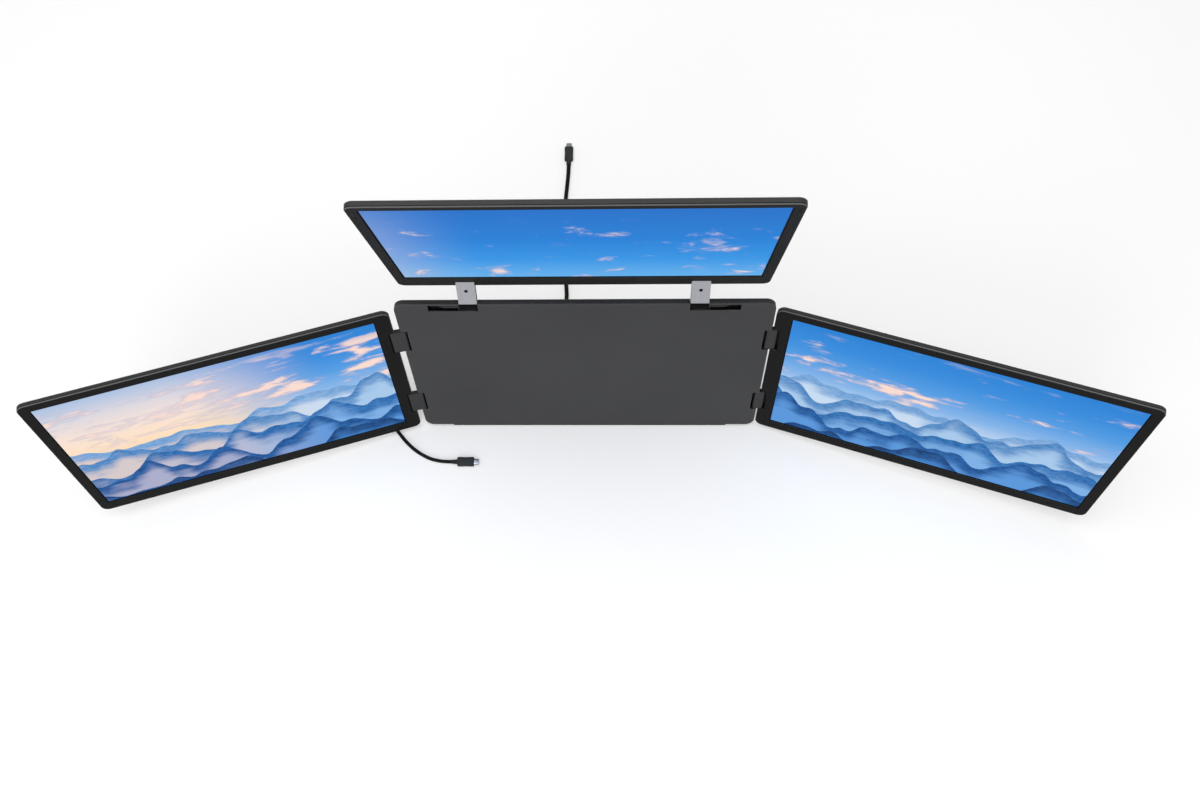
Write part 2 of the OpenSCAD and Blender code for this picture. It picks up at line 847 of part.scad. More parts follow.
// Rubber bumpers lie on the bezel beside the screen, one at each end
bumper_seat = 0.5;
module side_bumper_blocks(grow = 0) {
    x_mid = side_x0 + screen_w / 2;
    for (m = SIDES)
        translate([x_mid + m * (screen_w / 2 - bumper_inset), 0, side_bezel_bottom / 2])
            block([-bumper_l / 2 - grow, -bumper_out, -bumper_w / 2 - grow],
                  [bumper_l / 2 + grow, bumper_seat, bumper_w / 2 + grow]);
}

// Side display, drawn from its inner lower corner: x outwards, y backwards, z up.
// Its pins lie as deep and as near to the edge as those of the panel.
side_x0 = side_bezel_inner;
module from_corner(s) {
    display_frame(s)
        translate([-pin_edge(s), -pin_depth(s), side_raise])
            children();
}

// Notches for the links in a side display, with a thin wall behind them that clears the links' round ends
module side_notches(s, extra = 0) {
    translate([0, 0, -side_raise])
        mirror([1, 0, 0])
            link_notches(display_notch(s),
                         max(display_t - display_back_wall, pin_depth(s) + link_t / 2 + 0.25), extra);
}

module side_bores(s) {
    translate([pin_edge(s), pin_depth(s), -side_raise])
        pin_bores();
}

// Menu key, seen from the outer edge: x outwards. A cap in the edge, and a flange that keeps it in.
key_gap = 0.15;
key_lip = 0.7;
key_flange_t = 1;
key_room = 0.9;                 // how far the flange can move inwards
key_block_l = shell_wall + key_gap + key_flange_t + key_room + 1;
key_y = display_t / 2 + 0.3;

module key_shape(grow, flange_in, flange_out) {
    block([flange_in, key_y - key_w / 2 - grow, key_rise - grow],
          [flange_out, key_y + key_w / 2 + grow, key_rise + key_l + grow]);
}

module key_slot() {
    key_shape(key_gap, -shell_wall - 1, 2);
    key_shape(key_lip + key_gap, -shell_wall - key_gap - key_flange_t - key_room, -shell_wall);
}

module key_body() {
    key_shape(0, -shell_wall - key_gap - EPS, key_out);
    key_shape(key_lip, -shell_wall - key_gap - key_flange_t, -shell_wall - key_gap);
}

// The solid part of a shell that holds the key
module key_block() {
    block([-key_block_l, 0, key_rise - 3], [0, display_t, key_rise + key_l + 3]);
}

module side_bezel(s) {
    color("#262626")
        from_corner(s)
            difference() {
                translate([side_w / 2, 0, 0])
                    bezel_frame(side_w, side_h, side_x0 - side_w / 2, side_bezel_bottom, display_corner);
                side_notches(s);
                side_bores(s);
                side_bumper_blocks(0.05);
            }
}

module side_screen(s) {
    color("#4a86c5")
        from_corner(s)
            lcd(side_x0, side_bezel_bottom);
}

module side_rear_shell(s) {
    color("#303032")
        from_corner(s)
            difference() {
                translate([side_w / 2, 0, 0])
                    shell_body(side_w, side_h, display_corner);
                difference() {
                    translate([side_w / 2, 0, 0])
                        pocket(side_w, side_h, 0, display_t - display_back_wall, display_corner);
                    side_notches(s, notch_wall);
                    translate([side_w, 0, 0])
                        key_block();
                }
                side_notches(s);
                side_bores(s);
                translate([side_w, 0, 0])
                    key_slot();
            }
}

module side_driver_board(s) {
    color("#2f6b3f")
        from_corner(s)
            driver_board(side_x0 + screen_w / 2, side_bezel_bottom + driver_board_rise);
}

module side_display_bracket(s) {
    color("#6a6c70")
        display_frame(s)
            mirror([1, 0, 0])
                c_brackets(pin_edge(s), display_notch(s), bezel_t + 0.1 - pin_depth(s),
                           display_t - display_back_wall - 0.1 - pin_depth(s));
}

module side_outer_pins(s) {
    color("#9fa3a8")
        display_frame(s)
            side_pins();
}

module side_bumpers(s) {
    color("#0d0d0d")
        from_corner(s)
            side_bumper_blocks();
}

module side_key(s) {
    color("#1a1a1a")
        from_corner(s)
            translate([side_w, 0, 0])
                key_body();
}

module left_bezel() { side_bezel(LEFT); }
module left_screen() { side_screen(LEFT); }
module left_rear_shell() { side_rear_shell(LEFT); }
module left_driver_board() { side_driver_board(LEFT); }
module left_display_bracket() { side_display_bracket(LEFT); }
module left_outer_pins() { side_outer_pins(LEFT); }
module left_bumpers() { side_bumpers(LEFT); }
module left_key() { side_key(LEFT); }
module right_bezel() { side_bezel(RIGHT); }
module right_screen() { side_screen(RIGHT); }
module right_rear_shell() { side_rear_shell(RIGHT); }
module right_driver_board() { side_driver_board(RIGHT); }
module right_display_bracket() { side_display_bracket(RIGHT); }
module right_outer_pins() { side_outer_pins(RIGHT); }
module right_bumpers() { side_bumpers(RIGHT); }
module right_key() { side_key(RIGHT); }

// ---------------------------------------------------------------- top arms

// Steel core with round ends, its front cut back where the cover plate lies
module arm_core(s) {
    color("#222224")
        arm_frame()
            translate([s * arm_x, 0, 0])
                difference() {
                    rotate([0, -90, 0])
                        link_bar(arm_reach, arm_t, arm_w);
                    block([-arm_w, -arm_t, arm_plate_z], [arm_w, -arm_r + arm_plate_t, arm_reach + arm_t]);
                    for (z = [0, arm_reach])
                        translate([0, 0, z])
                            bar_x(-arm_w, arm_w, shaft_d + 2 * pin_play);
                }
}

arm_plate_z = 5;                // the plate starts this far above the lower shaft

module arm_plate(s) {
    color("#b9babd")
        arm_frame()
            translate([s * arm_x, 0, 0])
                block([-arm_w / 2, -arm_r, arm_plate_z],
                      [arm_w / 2, -arm_r + arm_plate_t, arm_reach + arm_end]);
}

module left_arm_core() { arm_core(LEFT); }
module left_arm_plate() { arm_plate(LEFT); }
module right_arm_core() { arm_core(RIGHT); }
module right_arm_plate() { arm_plate(RIGHT); }

// ---------------------------------------------------------------- top display

// The upper shafts lie at mid thickness of the display
top_shaft_depth = display_t / 2;

module from_top_corner() {
    top_frame()
        translate([0, -top_shaft_depth, -arm_shaft_rise])
            children();
}

// Notches for the arms in the lower edge
module top_notches(extra = 0) {
    for (s = SIDES)
        block([s * arm_x - arm_notch_w / 2 - extra, -1, -1],
              [s * arm_x + arm_notch_w / 2 + extra, display_t + 1,
               arm_shaft_rise + arm_swing + 0.4 + extra]);
}

module top_bores() {
    translate([0, top_shaft_depth, arm_shaft_rise])
        for (s = SIDES)
            on_side(s)
                bar_x(arm_x - arm_notch_w / 2 - 4, arm_x + arm_notch_w / 2 + 4, shaft_d + 2 * pin_play);
}

top_x0 = -screen_w / 2;
module top_bumper_blocks(grow = 0) {
    for (s = SIDES)
        translate([s * (screen_w + top_bezel_side) / 2, 0, top_bezel_bottom + screen_h - bumper_inset / 2])
            block([-bumper_w / 2 - grow, -bumper_out, -bumper_l / 2 - grow],
                  [bumper_w / 2 + grow, bumper_seat, bumper_l / 2 + grow]);
}

module top_bezel() {
    color("#262626")
        from_top_corner()
            difference() {
                bezel_frame(top_w, top_h, top_x0, top_bezel_bottom, display_corner);
                top_notches();
                top_bores();
                top_bumper_blocks(0.05);
            }
}

module top_screen() {
    color("#4a86c5")
        from_top_corner()
            lcd(top_x0, top_bezel_bottom);
}

module top_rear_shell() {
    color("#303032")
        from_top_corner()
            difference() {
                shell_body(top_w, top_h, display_corner);
                difference() {
                    pocket(top_w, top_h, 0, display_t - display_back_wall, display_corner);
                    top_notches(notch_wall);
                    translate([top_w / 2, 0, 0])
                        key_block();
                }
                top_notches();
                top_bores();
                translate([top_w / 2, 0, 0])
                    key_slot();
            }
}

module top_driver_board() {
    color("#2f6b3f")
        from_top_corner()
            driver_board(0, top_bezel_bottom + driver_board_rise);
}

// Blocks either side of each arm that hold the upper shafts
top_knuckle_rise = 14;          // above the shafts
top_knuckle_drop = 5;           // below the shafts
module top_display_knuckles() {
    l = top_knuckle_l;
    near = arm_notch_w / 2 + notch_wall + fit;
    color("#6a6c70")
        from_top_corner()
            difference() {
                for (s = SIDES)
                    for (e = SIDES)
                        translate([s * arm_x + e * (near + l / 2), 0, arm_shaft_rise])
                            block([-l / 2, bezel_t + 0.1, -top_knuckle_drop],
                                  [l / 2, display_t - display_back_wall - 0.1, top_knuckle_rise]);
                translate([0, top_shaft_depth, arm_shaft_rise])
                    for (s = SIDES)
                        on_side(s)
                            bar_x(arm_x - near - l + 1, arm_x + near + l - 1, shaft_d);
            }
}

module arm_upper_shafts() {
    reach = arm_notch_w / 2 + notch_wall + fit + top_knuckle_l - 1;
    color("#9fa3a8")
        top_frame()
            for (s = SIDES)
                on_side(s)
                    bar_x(arm_x - reach, arm_x + reach, shaft_d);
}

module top_bumpers() {
    color("#0d0d0d")
        from_top_corner()
            top_bumper_blocks();
}

module top_key() {
    color("#1a1a1a")
        from_top_corner()
            translate([top_w / 2, 0, 0])
                key_body();
}

// ---------------------------------------------------------------- cables

// Unit vector from one route point to the next
function heading(p, i) = let(a = p[max(i - 1, 0)], b = p[min(i + 1, len(p) - 1)]) (b - a) / norm(b - a);

// Part of v across the unit vector t, at length 1
function across(v, t) = let(w = v - (v * t) * t) w / norm(w);

// Side vectors along the route, each carried over from the one before it
function side_vectors(p, i = 0, v = [1, 0, 0]) =
    i == len(p) ? [] : let(w = across(v, heading(p, i))) concat([w], side_vectors(p, i + 1, w));

// Sweeps a circle of n sides along the route
module swept_tube(p, d, n = 8) {
    u = side_vectors(p);
    rings = [for (i = [0 : len(p) - 1])
        let(t = heading(p, i), v = cross(t, u[i]))
            for (k = [0 : n - 1]) p[i] + d / 2 * (cos(360 * k / n) * u[i] + sin(360 * k / n) * v)];
    faces = concat(
        [[for (k = [n - 1 : -1 : 0]) k]],
        [for (i = [0 : len(p) - 2]) for (k = [0 : n - 1])
            [i * n + k, i * n + (k + 1) % n, (i + 1) * n + (k + 1) % n, (i + 1) * n + k]],
        [[for (k = [0 : n - 1]) (len(p) - 1) * n + k]]);
    polyhedron(rings, [for (f = faces) [for (k = [len(f) - 1 : -1 : 0]) f[k]]], convexity = 8);
}

// The outer shape of a stored coil
module coil_solid(at, r, half, h) {
    translate([at[0], at[1], 0])
        rotate_extrude()
            polygon([[r - half, 0], [r + half, 0], [r + half, h - 3], [r + half - 3, h],
                     [r - half + 3, h], [r - half, h - 3]]);
}

// A plug that sits in its socket, along the panel's -z, with its strain relief
module cable_head(x, d) {
    color("#1d1f20")
        panel_frame()
            translate([x, port_y, port_z]) {
                block([-4.1, -1.2, -1], [4.1, 1.2, socket_l - 1]);
                block([-6, -3.2, -head_l - 0.2], [6, 3.2, -0.2]);
                translate([0, 0, -head_l - relief_l])
                    cylinder(d1 = d + 0.6, d2 = d + 1.4, h = relief_l - 0.2 + EPS);
            }
}

// The route from the end of a strain relief, which is worked out, to the hand-made points
function from_head(x, p) = let(z = port_z - head_l - relief_l)
    concat([[x, -panel_t / 2 + port_y * cos(lean) + z * sin(lean),
             foot_height - port_y * sin(lean) + z * cos(lean)]], p);

// A free plug: strain relief, grip and metal tip along +x from the cable's end
module free_plug(d) {
    relief = 7.5;
    rotate([0, 90, 0])
        cylinder(d1 = d + 0.4, d2 = d + 1.2, h = relief + EPS);
    translate([relief, 0, 0])
        block([0, -plug_w / 2, -plug_t / 2], [plug_l, plug_w / 2, plug_t / 2]);
    translate([relief + plug_l - EPS, 0, 0])
        block([0, -4.1, -1.2], [tip_l, 4.1, 1.2]);
}

// A free plug starts where its cable ends, and its grip lies on the table
function plug_place(p) = let(q = p[len(p) - 1]) [q[0], q[1], plug_t / 2];

module laptop_cable_head() { cable_head(laptop_port_x, laptop_cable_d); }

module laptop_cable_start() {
    color("#141414")
        swept_tube(from_head(laptop_port_x, laptop_start_route), laptop_cable_d);
}

module laptop_cable_coil() {
    color("#141414")
        coil_solid(laptop_coil_at, laptop_coil_r, laptop_cable_d, 9.4);
}

module laptop_cable_end() {
    color("#141414")
        swept_tube(laptop_end_route, laptop_cable_d);
}

module laptop_plug() {
    color("#2e3132")
        translate(plug_place(laptop_end_route))
            free_plug(laptop_cable_d);
}

module power_cable_head() { cable_head(power_port_x, power_cable_d); }

module power_cable_start() {
    color("#141414")
        swept_tube(from_head(power_port_x, power_start_route), power_cable_d);
}

module power_cable_coil() {
    color("#141414")
        coil_solid(power_coil_at, power_coil_r, 1.5 * power_cable_d, 11.2);
}

module power_cable_end() {
    color("#141414")
        swept_tube(power_end_route, power_cable_d);
}

module power_plug() {
    color("#2e3132")
        translate(plug_place(power_end_route))
            rotate([0, 0, 90])
                free_plug(power_cable_d);
}

// ---------------------------------------------------------------- the nodes

centre_front_cover();
centre_rear_cover();
main_board();
port_sockets();
left_panel_bracket();
right_panel_bracket();
left_inner_pins();
right_inner_pins();
top_hinge_barrels();
arm_lower_shafts();
foot_strip();
kickstand_brackets();
kickstand_pins();
left_upper_link();
left_lower_link();
right_upper_link();
right_lower_link();
left_bezel();
left_screen();
left_rear_shell();
left_driver_board();
left_display_bracket();
left_outer_pins();
left_bumpers();
left_key();
right_bezel();
right_screen();
right_rear_shell();
right_driver_board();
right_display_bracket();
right_outer_pins();
right_bumpers();
right_key();
left_arm_core();
left_arm_plate();
right_arm_core();
right_arm_plate();
top_bezel();
top_screen();
top_rear_shell();
top_driver_board();
top_display_knuckles();
arm_upper_shafts();
top_bumpers();
top_key();
kickstand_frame();
kickstand_pads();
laptop_cable_head();
laptop_cable_start();
laptop_cable_coil();
laptop_cable_end();
laptop_plug();
power_cable_head();
power_cable_start();
power_cable_coil();
power_cable_end();
power_plug();
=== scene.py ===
"""Looks of the laptop screen extender: lit screens, cables, plugs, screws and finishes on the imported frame.

Sizes are in millimetres and are turned into Blender's metres where a mesh or a node is made.
"""

import json
import logging
import math
from collections.abc import Callable, Sequence
from dataclasses import dataclass, field, replace
from enum import Enum

import bmesh
import bpy
from mathutils import Matrix, Vector
from mathutils.geometry import convex_hull_2d

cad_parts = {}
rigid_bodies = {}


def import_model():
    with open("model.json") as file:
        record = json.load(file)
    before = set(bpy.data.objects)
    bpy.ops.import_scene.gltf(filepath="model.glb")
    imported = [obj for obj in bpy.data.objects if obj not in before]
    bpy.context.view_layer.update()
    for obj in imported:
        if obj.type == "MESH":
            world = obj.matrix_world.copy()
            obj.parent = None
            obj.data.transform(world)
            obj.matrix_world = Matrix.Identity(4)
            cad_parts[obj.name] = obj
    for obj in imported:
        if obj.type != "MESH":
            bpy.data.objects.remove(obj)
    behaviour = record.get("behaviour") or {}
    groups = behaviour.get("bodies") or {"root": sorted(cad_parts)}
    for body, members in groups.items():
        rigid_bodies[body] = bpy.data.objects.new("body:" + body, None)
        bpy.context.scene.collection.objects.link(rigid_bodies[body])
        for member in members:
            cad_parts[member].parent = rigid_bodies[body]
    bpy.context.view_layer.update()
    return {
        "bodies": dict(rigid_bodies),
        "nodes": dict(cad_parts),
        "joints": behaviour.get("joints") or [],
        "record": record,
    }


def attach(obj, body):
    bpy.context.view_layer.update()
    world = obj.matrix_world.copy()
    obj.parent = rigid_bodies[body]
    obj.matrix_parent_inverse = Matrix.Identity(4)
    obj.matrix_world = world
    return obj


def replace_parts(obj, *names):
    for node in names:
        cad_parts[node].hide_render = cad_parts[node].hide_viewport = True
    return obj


log = logging.getLogger("screen_extender")

Pair = tuple[float, float]
Point = tuple[float, float, float]
Colour = tuple[float, float, float, float]
Tree = bpy.types.NodeTree
Node = bpy.types.Node
Socket = bpy.types.NodeSocket
Piece = bpy.types.Object

MM = 0.001
SHARP_ANGLE = 40.0          # degrees; an edge stays sharp where two faces turn further than this
SCREEN = (409.8, 230.5)     # the lit area of an 18.5 inch display, width and height


class Side(Enum):
    """The side of the panel on which a display hangs, as the sign of x."""

    LEFT = -1
    RIGHT = 1

    @property
    def word(self) -> str:
        """The side's word in the names of nodes and bodies."""
        return self.name.lower()


class Slot(Enum):
    """Names of material slots in the record; nothing here uses them."""

    STEEL = "steel"
    CABLE = "cable"
    PLUG = "plug_plastic"
    RUBBER = "rubber"


# ---------------------------------------------------------------- nodes and meshes


def linear(hex_colour: str) -> Colour:
    """Turns an sRGB hex value into a linear colour.

    Args:
        hex_colour: the colour as "#rrggbb".

    Returns:
        Red, green, blue and alpha for a node's socket.
    """
    parts = [int(hex_colour[i : i + 2], 16) / 255 for i in (1, 3, 5)]
    red, green, blue = (p / 12.92 if p <= 0.04045 else ((p + 0.055) / 1.055) ** 2.4 for p in parts)
    return red, green, blue, 1.0


def add_node(
    tree: Tree, kind: str, inputs: dict[str | int, object] | None = None, **settings: object
) -> Node:
    """Adds a node to a tree.

    Args:
        tree: the tree that gets the node.
        kind: Blender's name of the node type.
        inputs: a value, a socket or a node for each input, by the input's name or number.
        settings: the node's own properties.

    Returns:
        The new node.
    """
    node = tree.nodes.new(kind)
    for name, value in settings.items():
        setattr(node, name, value)
    for key, value in (inputs or {}).items():
        if isinstance(value, Node):
            value = value.outputs[0]
        if isinstance(value, Socket):
            tree.links.new(value, node.inputs[key])
        else:
            node.inputs[key].default_value = value
    return node


def add_object(name: str, data: bpy.types.ID) -> Piece:
    """Puts a mesh, curve, lamp or camera into the scene as an object at the origin.

    Args:
        name: the object's name.
        data: what it shows.

    Returns:
        The object.
    """
    piece = bpy.data.objects.new(name, data)
    bpy.context.scene.collection.objects.link(piece)
    return piece


def loft(mesh: bmesh.types.BMesh, rings: Sequence[Sequence[Vector]], material_index: int = 0) -> None:
    """Joins rings of equally many points into a closed skin with a cap at each end.

    Args:
        mesh: the mesh that gets the skin.
        rings: the rings in order, each in the same turning direction.
        material_index: the material slot of the new faces.
    """
    rows = [[mesh.verts.new(p) for p in ring] for ring in rings]
    count = len(rows[0])
    faces = [
        mesh.faces.new((low[k], low[(k + 1) % count], high[(k + 1) % count], high[k]))
        for low, high in zip(rows, rows[1:])
        for k in range(count)
    ]
    faces += [mesh.faces.new(rows[0][::-1]), mesh.faces.new(rows[-1])]
    for face in faces:
        face.material_index = material_index
        face.smooth = len(face.verts) == 4


def finished_mesh(
    name: str, mesh: bmesh.types.BMesh, materials: Sequence[bpy.types.Material]
) -> bpy.types.Mesh:
    """Merges doubles, turns the faces outwards and writes the mesh.

    Args:
        name: the mesh's name.
        mesh: the built mesh, which is freed.
        materials: the materials in slot order.

    Returns:
        The finished mesh.
    """
    bmesh.ops.remove_doubles(mesh, verts=mesh.verts, dist=1e-6)
    bmesh.ops.recalc_face_normals(mesh, faces=mesh.faces)
    result = bpy.data.meshes.new(name)
    mesh.to_mesh(result)
    mesh.free()
    for material in materials:
        result.materials.append(material)
    result.set_sharp_from_angle(angle=math.radians(SHARP_ANGLE))
    return result


# ---------------------------------------------------------------- finishes

UNDER, OVER, MIXED = 6, 7, 2        # a Mix node's sockets for colours: both inputs and the output
WHITE = (1.0, 1.0, 1.0, 1.0)
EDGE_SAMPLES = 4
SKY_SAMPLES = 6
NOISE_SPAN = (0.3, 0.7)             # nearly all values of a noise texture lie in it
FULL_SPAN = (0.0, 1.0)
SLIT_REACH = 9.0                    # a face this near darkens a slit with painted shade
OPENING_REACH = 4.0                 # a face this near keeps the painted highlight off the opening round the glass
SLIGHT_TURN = 0.995                 # the cosine of a turn that is too slight to be an edge


def openness(tree: Tree, reach: float, span: Pair, least: float = 0.0) -> Node:
    """How open a place is to the sky, past the other faces near it.

    Args:
        tree: the material's tree.
        reach: how far off another face still counts, in millimetres.
        span: the share of open sky that counts as closed, and the share that counts as open.
        least: the value in a closed place.

    Returns:
        The node that holds the value, which is 1 in the open.
    """
    sky = add_node(tree, "ShaderNodeAmbientOcclusion", {"Distance": reach * MM}, samples=SKY_SAMPLES)
    return add_node(tree, "ShaderNodeMapRange", {
        "Value": sky.outputs["AO"], "From Min": span[0], "From Max": span[1], "To Min": least,
    })


def in_shade(tree: Tree, colour: Node | Socket) -> Node:
    """Paints shade into a colour: darkens it in slits and notches, where other faces near it keep the light
    out.
    """
    share = openness(tree, SLIT_REACH, (0.3, 0.7), least=0.04)
    return add_node(tree, "ShaderNodeVectorMath", {0: colour, "Scale": share}, operation="SCALE")


def mottled(
    tree: Tree, colour: str | Socket, pattern: Node | Socket, tones: Pair, span: Pair = NOISE_SPAN
) -> Node:
    """Makes a colour darker and lighter by a pattern.

    Args:
        tree: the material's tree.
        colour: the plain colour, as a hex value or a socket.
        pattern: the pattern.
        tones: the share of the colour where the pattern is low and where it is high.
        span: the pattern's values at these places.

    Returns:
        The node that holds the colour.
    """
    tone = add_node(tree, "ShaderNodeMapRange", {
        "Value": pattern, "From Min": span[0], "From Max": span[1], "To Min": tones[0], "To Max": tones[1],
    })
    plain = linear(colour)[:3] if isinstance(colour, str) else colour
    return add_node(tree, "ShaderNodeVectorMath", {0: plain, "Scale": tone}, operation="SCALE")


def uneven_gloss(
    tree: Tree, pattern: Node, roughness: float, less: float, more: float, span: Pair = NOISE_SPAN
) -> Node:
    """Varies the roughness by a pattern.

    Args:
        tree: the material's tree.
        pattern: the pattern.
        roughness: the surface's usual roughness.
        less: how far below it falls where the pattern is low.
        more: how far above it rises where the pattern is high.
        span: the pattern's values at these places.

    Returns:
        The node that holds the roughness.
    """
    return add_node(tree, "ShaderNodeMapRange", {
        "Value": pattern, "From Min": span[0], "From Max": span[1],
        "To Min": roughness - less, "To Max": roughness + more,
    })


def worn_edges(
    tree: Tree, colour: str, worn: str, edge: float, fully: float, most: float
) -> tuple[Socket, Node]:
    """Rounds the edges to the eye and paints them another colour, for wear and as a painted highlight.

    Args:
        tree: the material's tree.
        colour: the faces' hex colour.
        worn: the edges' hex colour.
        edge: the radius that the eye sees, in millimetres.
        fully: the cosine of the turn at which an edge takes as much of the edge colour as it gets.
        most: the share of the edge colour there.

    Returns:
        The colour, and the node that holds the rounded normal.
    """
    round_edge = add_node(tree, "ShaderNodeBevel", {"Radius": edge * MM}, samples=EDGE_SAMPLES)
    flat = add_node(tree, "ShaderNodeNewGeometry").outputs["Normal"]
    turn = add_node(tree, "ShaderNodeVectorMath", {0: round_edge, 1: flat}, operation="DOT_PRODUCT")
    share = add_node(tree, "ShaderNodeMapRange", {
        "Value": turn.outputs["Value"], "From Min": SLIGHT_TURN, "From Max": fully, "To Max": most,
    })
    base = add_node(tree, "ShaderNodeMix", {
        "Factor": share, UNDER: linear(colour), OVER: linear(worn),
    }, data_type="RGBA")
    return base.outputs[MIXED], round_edge


@dataclass(frozen=True)
class Finish:
    """A surface finish, made into a material once."""

    name: str

    def shade(self, tree: Tree, place: Socket) -> Node:
        """Adds the finish's own nodes.

        Args:
            tree: the material's tree.
            place: the place on the piece, in metres.

        Returns:
            The shader.
        """
        raise NotImplementedError

    def material(self) -> bpy.types.Material:
        """The material of this finish, made at the first call.

        Returns:
            The material.
        """
        made = bpy.data.materials.get(self.name)
        if made is None:
            made = bpy.data.materials.new(self.name)
            made.use_nodes = True
            tree = made.node_tree
            tree.nodes.clear()
            place = add_node(tree, "ShaderNodeTexCoord").outputs["Object"]
            add_node(tree, "ShaderNodeOutputMaterial", {"Surface": self.shade(tree, place)})
        return made

    def dress(self, node: Piece) -> None:
        """Puts the finish into each material slot of a CAD node."""
        for slot in node.material_slots:
            slot.material = self.material()


@dataclass(frozen=True)
class MouldedPlastic(Finish):
    """ABS blend from a spark-eroded mould: fine grain that scatters the gloss, edges lighter from wear and a
    painted highlight.
    """

    colour: str = "#262626"
    # edges lighter from wear, and a painted highlight along them
    rubbed: str = "#3a3a3b"
    roughness: float = 0.5
    grain: float = 0.5      # real grain is about 0.1 mm; drawn coarser so that it shows
    edge: float = 0.5       # radius that the eye sees on the moulded edges
    sheen: float = 0.14     # the grain breaks up most of the 0.5 of a polished face

    def shade(self, tree: Tree, place: Socket) -> Node:
        """Adds clouding, grain, round edges lighter from wear and a painted highlight, and painted shade in
        slits to a plastic shader.

        Args:
            tree: the material's tree.
            place: the place on the piece, in metres.

        Returns:
            The shader.
        """
        base, round_edge = worn_edges(tree, self.colour, self.rubbed, self.edge, fully=0.82, most=0.7)
        # slow clouding of the colour over about 90 mm, as handling leaves it
        cloud = add_node(tree, "ShaderNodeTexNoise", {"Vector": place, "Scale": 11.0, "Detail": 3.0})
        tinted = self.trimmed(tree, mottled(tree, base, cloud, (0.9, 1.1)))
        grain = add_node(tree, "ShaderNodeTexNoise", {
            "Vector": place, "Scale": 1 / (self.grain * MM), "Detail": 2.0, "Roughness": 0.6,
        })
        bump = add_node(tree, "ShaderNodeBump", {
            "Height": grain, "Normal": round_edge, "Strength": 0.25, "Distance": 0.05 * MM,
        })
        return add_node(tree, "ShaderNodeBsdfPrincipled", {
            "Base Color": in_shade(tree, tinted), "Normal": bump, "Specular IOR Level": self.sheen,
            "Roughness": uneven_gloss(tree, grain, self.roughness, 0.06, 0.08),
        })

    def trimmed(self, tree: Tree, colour: Node) -> Node | Socket:
        """The colour with a painted highlight that a special kind adds to it, which is none here."""
        return colour


@dataclass(frozen=True)
class RimmedPlastic(MouldedPlastic):
    """A moulded bezel with a painted highlight on its outer side and chamfer: a thin light line round its
    front.
    """

    front: Point = (0.0, -1.0, 0.0)         # where the bezel's front faces
    # colour of the painted highlight line
    rim: str = "#606060"

    def trimmed(self, tree: Tree, colour: Node) -> Node | Socket:
        """The colour with a painted highlight on the side and chamfer, but not in the opening round the
        glass.

        Args:
            tree: the material's tree.
            colour: the colour of the moulding.

        Returns:
            The colour with the painted highlight.
        """
        facing = add_node(tree, "ShaderNodeVectorMath", {
            0: add_node(tree, "ShaderNodeTexCoord").outputs["Normal"], 1: self.front,
        }, operation="DOT_PRODUCT")
        turned = add_node(tree, "ShaderNodeMapRange", {
            "Value": facing.outputs["Value"], "From Min": 0.92, "From Max": 0.8,
        })
        share = add_node(tree, "ShaderNodeMath", {
            0: turned, 1: openness(tree, OPENING_REACH, (0.6, 0.85)),
        }, operation="MULTIPLY")
        return add_node(tree, "ShaderNodeMix", {
            "Factor": share, UNDER: colour, OVER: linear(self.rim),
        }, data_type="RGBA").outputs[MIXED]


@dataclass(frozen=True)
class AnodisedSheet(Finish):
    """Blasted and charcoal-anodised aluminium: an even satin, a fine sparkle, and bright edges from wear and
    a painted highlight.
    """

    colour: str = "#444446"
    # edges lighter from wear, and a painted highlight along them
    worn: str = "#77777a"
    roughness: float = 0.48
    grit: float = 0.4       # blasting leaves pits of about 0.15 mm; drawn coarser so that they show
    edge: float = 0.35
    sheen: float = 0.2

    def shade(self, tree: Tree, place: Socket) -> Node:
        """Adds pits, a slow change of tone, edges lighter from wear and a painted highlight, and painted
        shade to a metal shader.

        Args:
            tree: the material's tree.
            place: the place on the piece, in metres.

        Returns:
            The shader.
        """
        base, round_edge = worn_edges(tree, self.colour, self.worn, self.edge, fully=0.85, most=0.6)
        # the tone drifts over about 170 mm, as the bath leaves it
        cloud = add_node(tree, "ShaderNodeTexNoise", {"Vector": place, "Scale": 6.0, "Detail": 4.0})
        tinted = mottled(tree, base, cloud, (0.92, 1.08))
        pits = add_node(tree, "ShaderNodeTexNoise", {
            "Vector": place, "Scale": 1 / (self.grit * MM), "Detail": 3.0, "Roughness": 0.7,
        })
        bump = add_node(tree, "ShaderNodeBump", {
            "Height": pits, "Normal": round_edge, "Strength": 0.2, "Distance": 0.04 * MM,
        })
        return add_node(tree, "ShaderNodeBsdfPrincipled", {
            "Base Color": in_shade(tree, tinted), "Normal": bump, "Metallic": 0.35,
            "Roughness": uneven_gloss(tree, pits, self.roughness, 0.08, 0.08),
            "Specular IOR Level": self.sheen,
        })


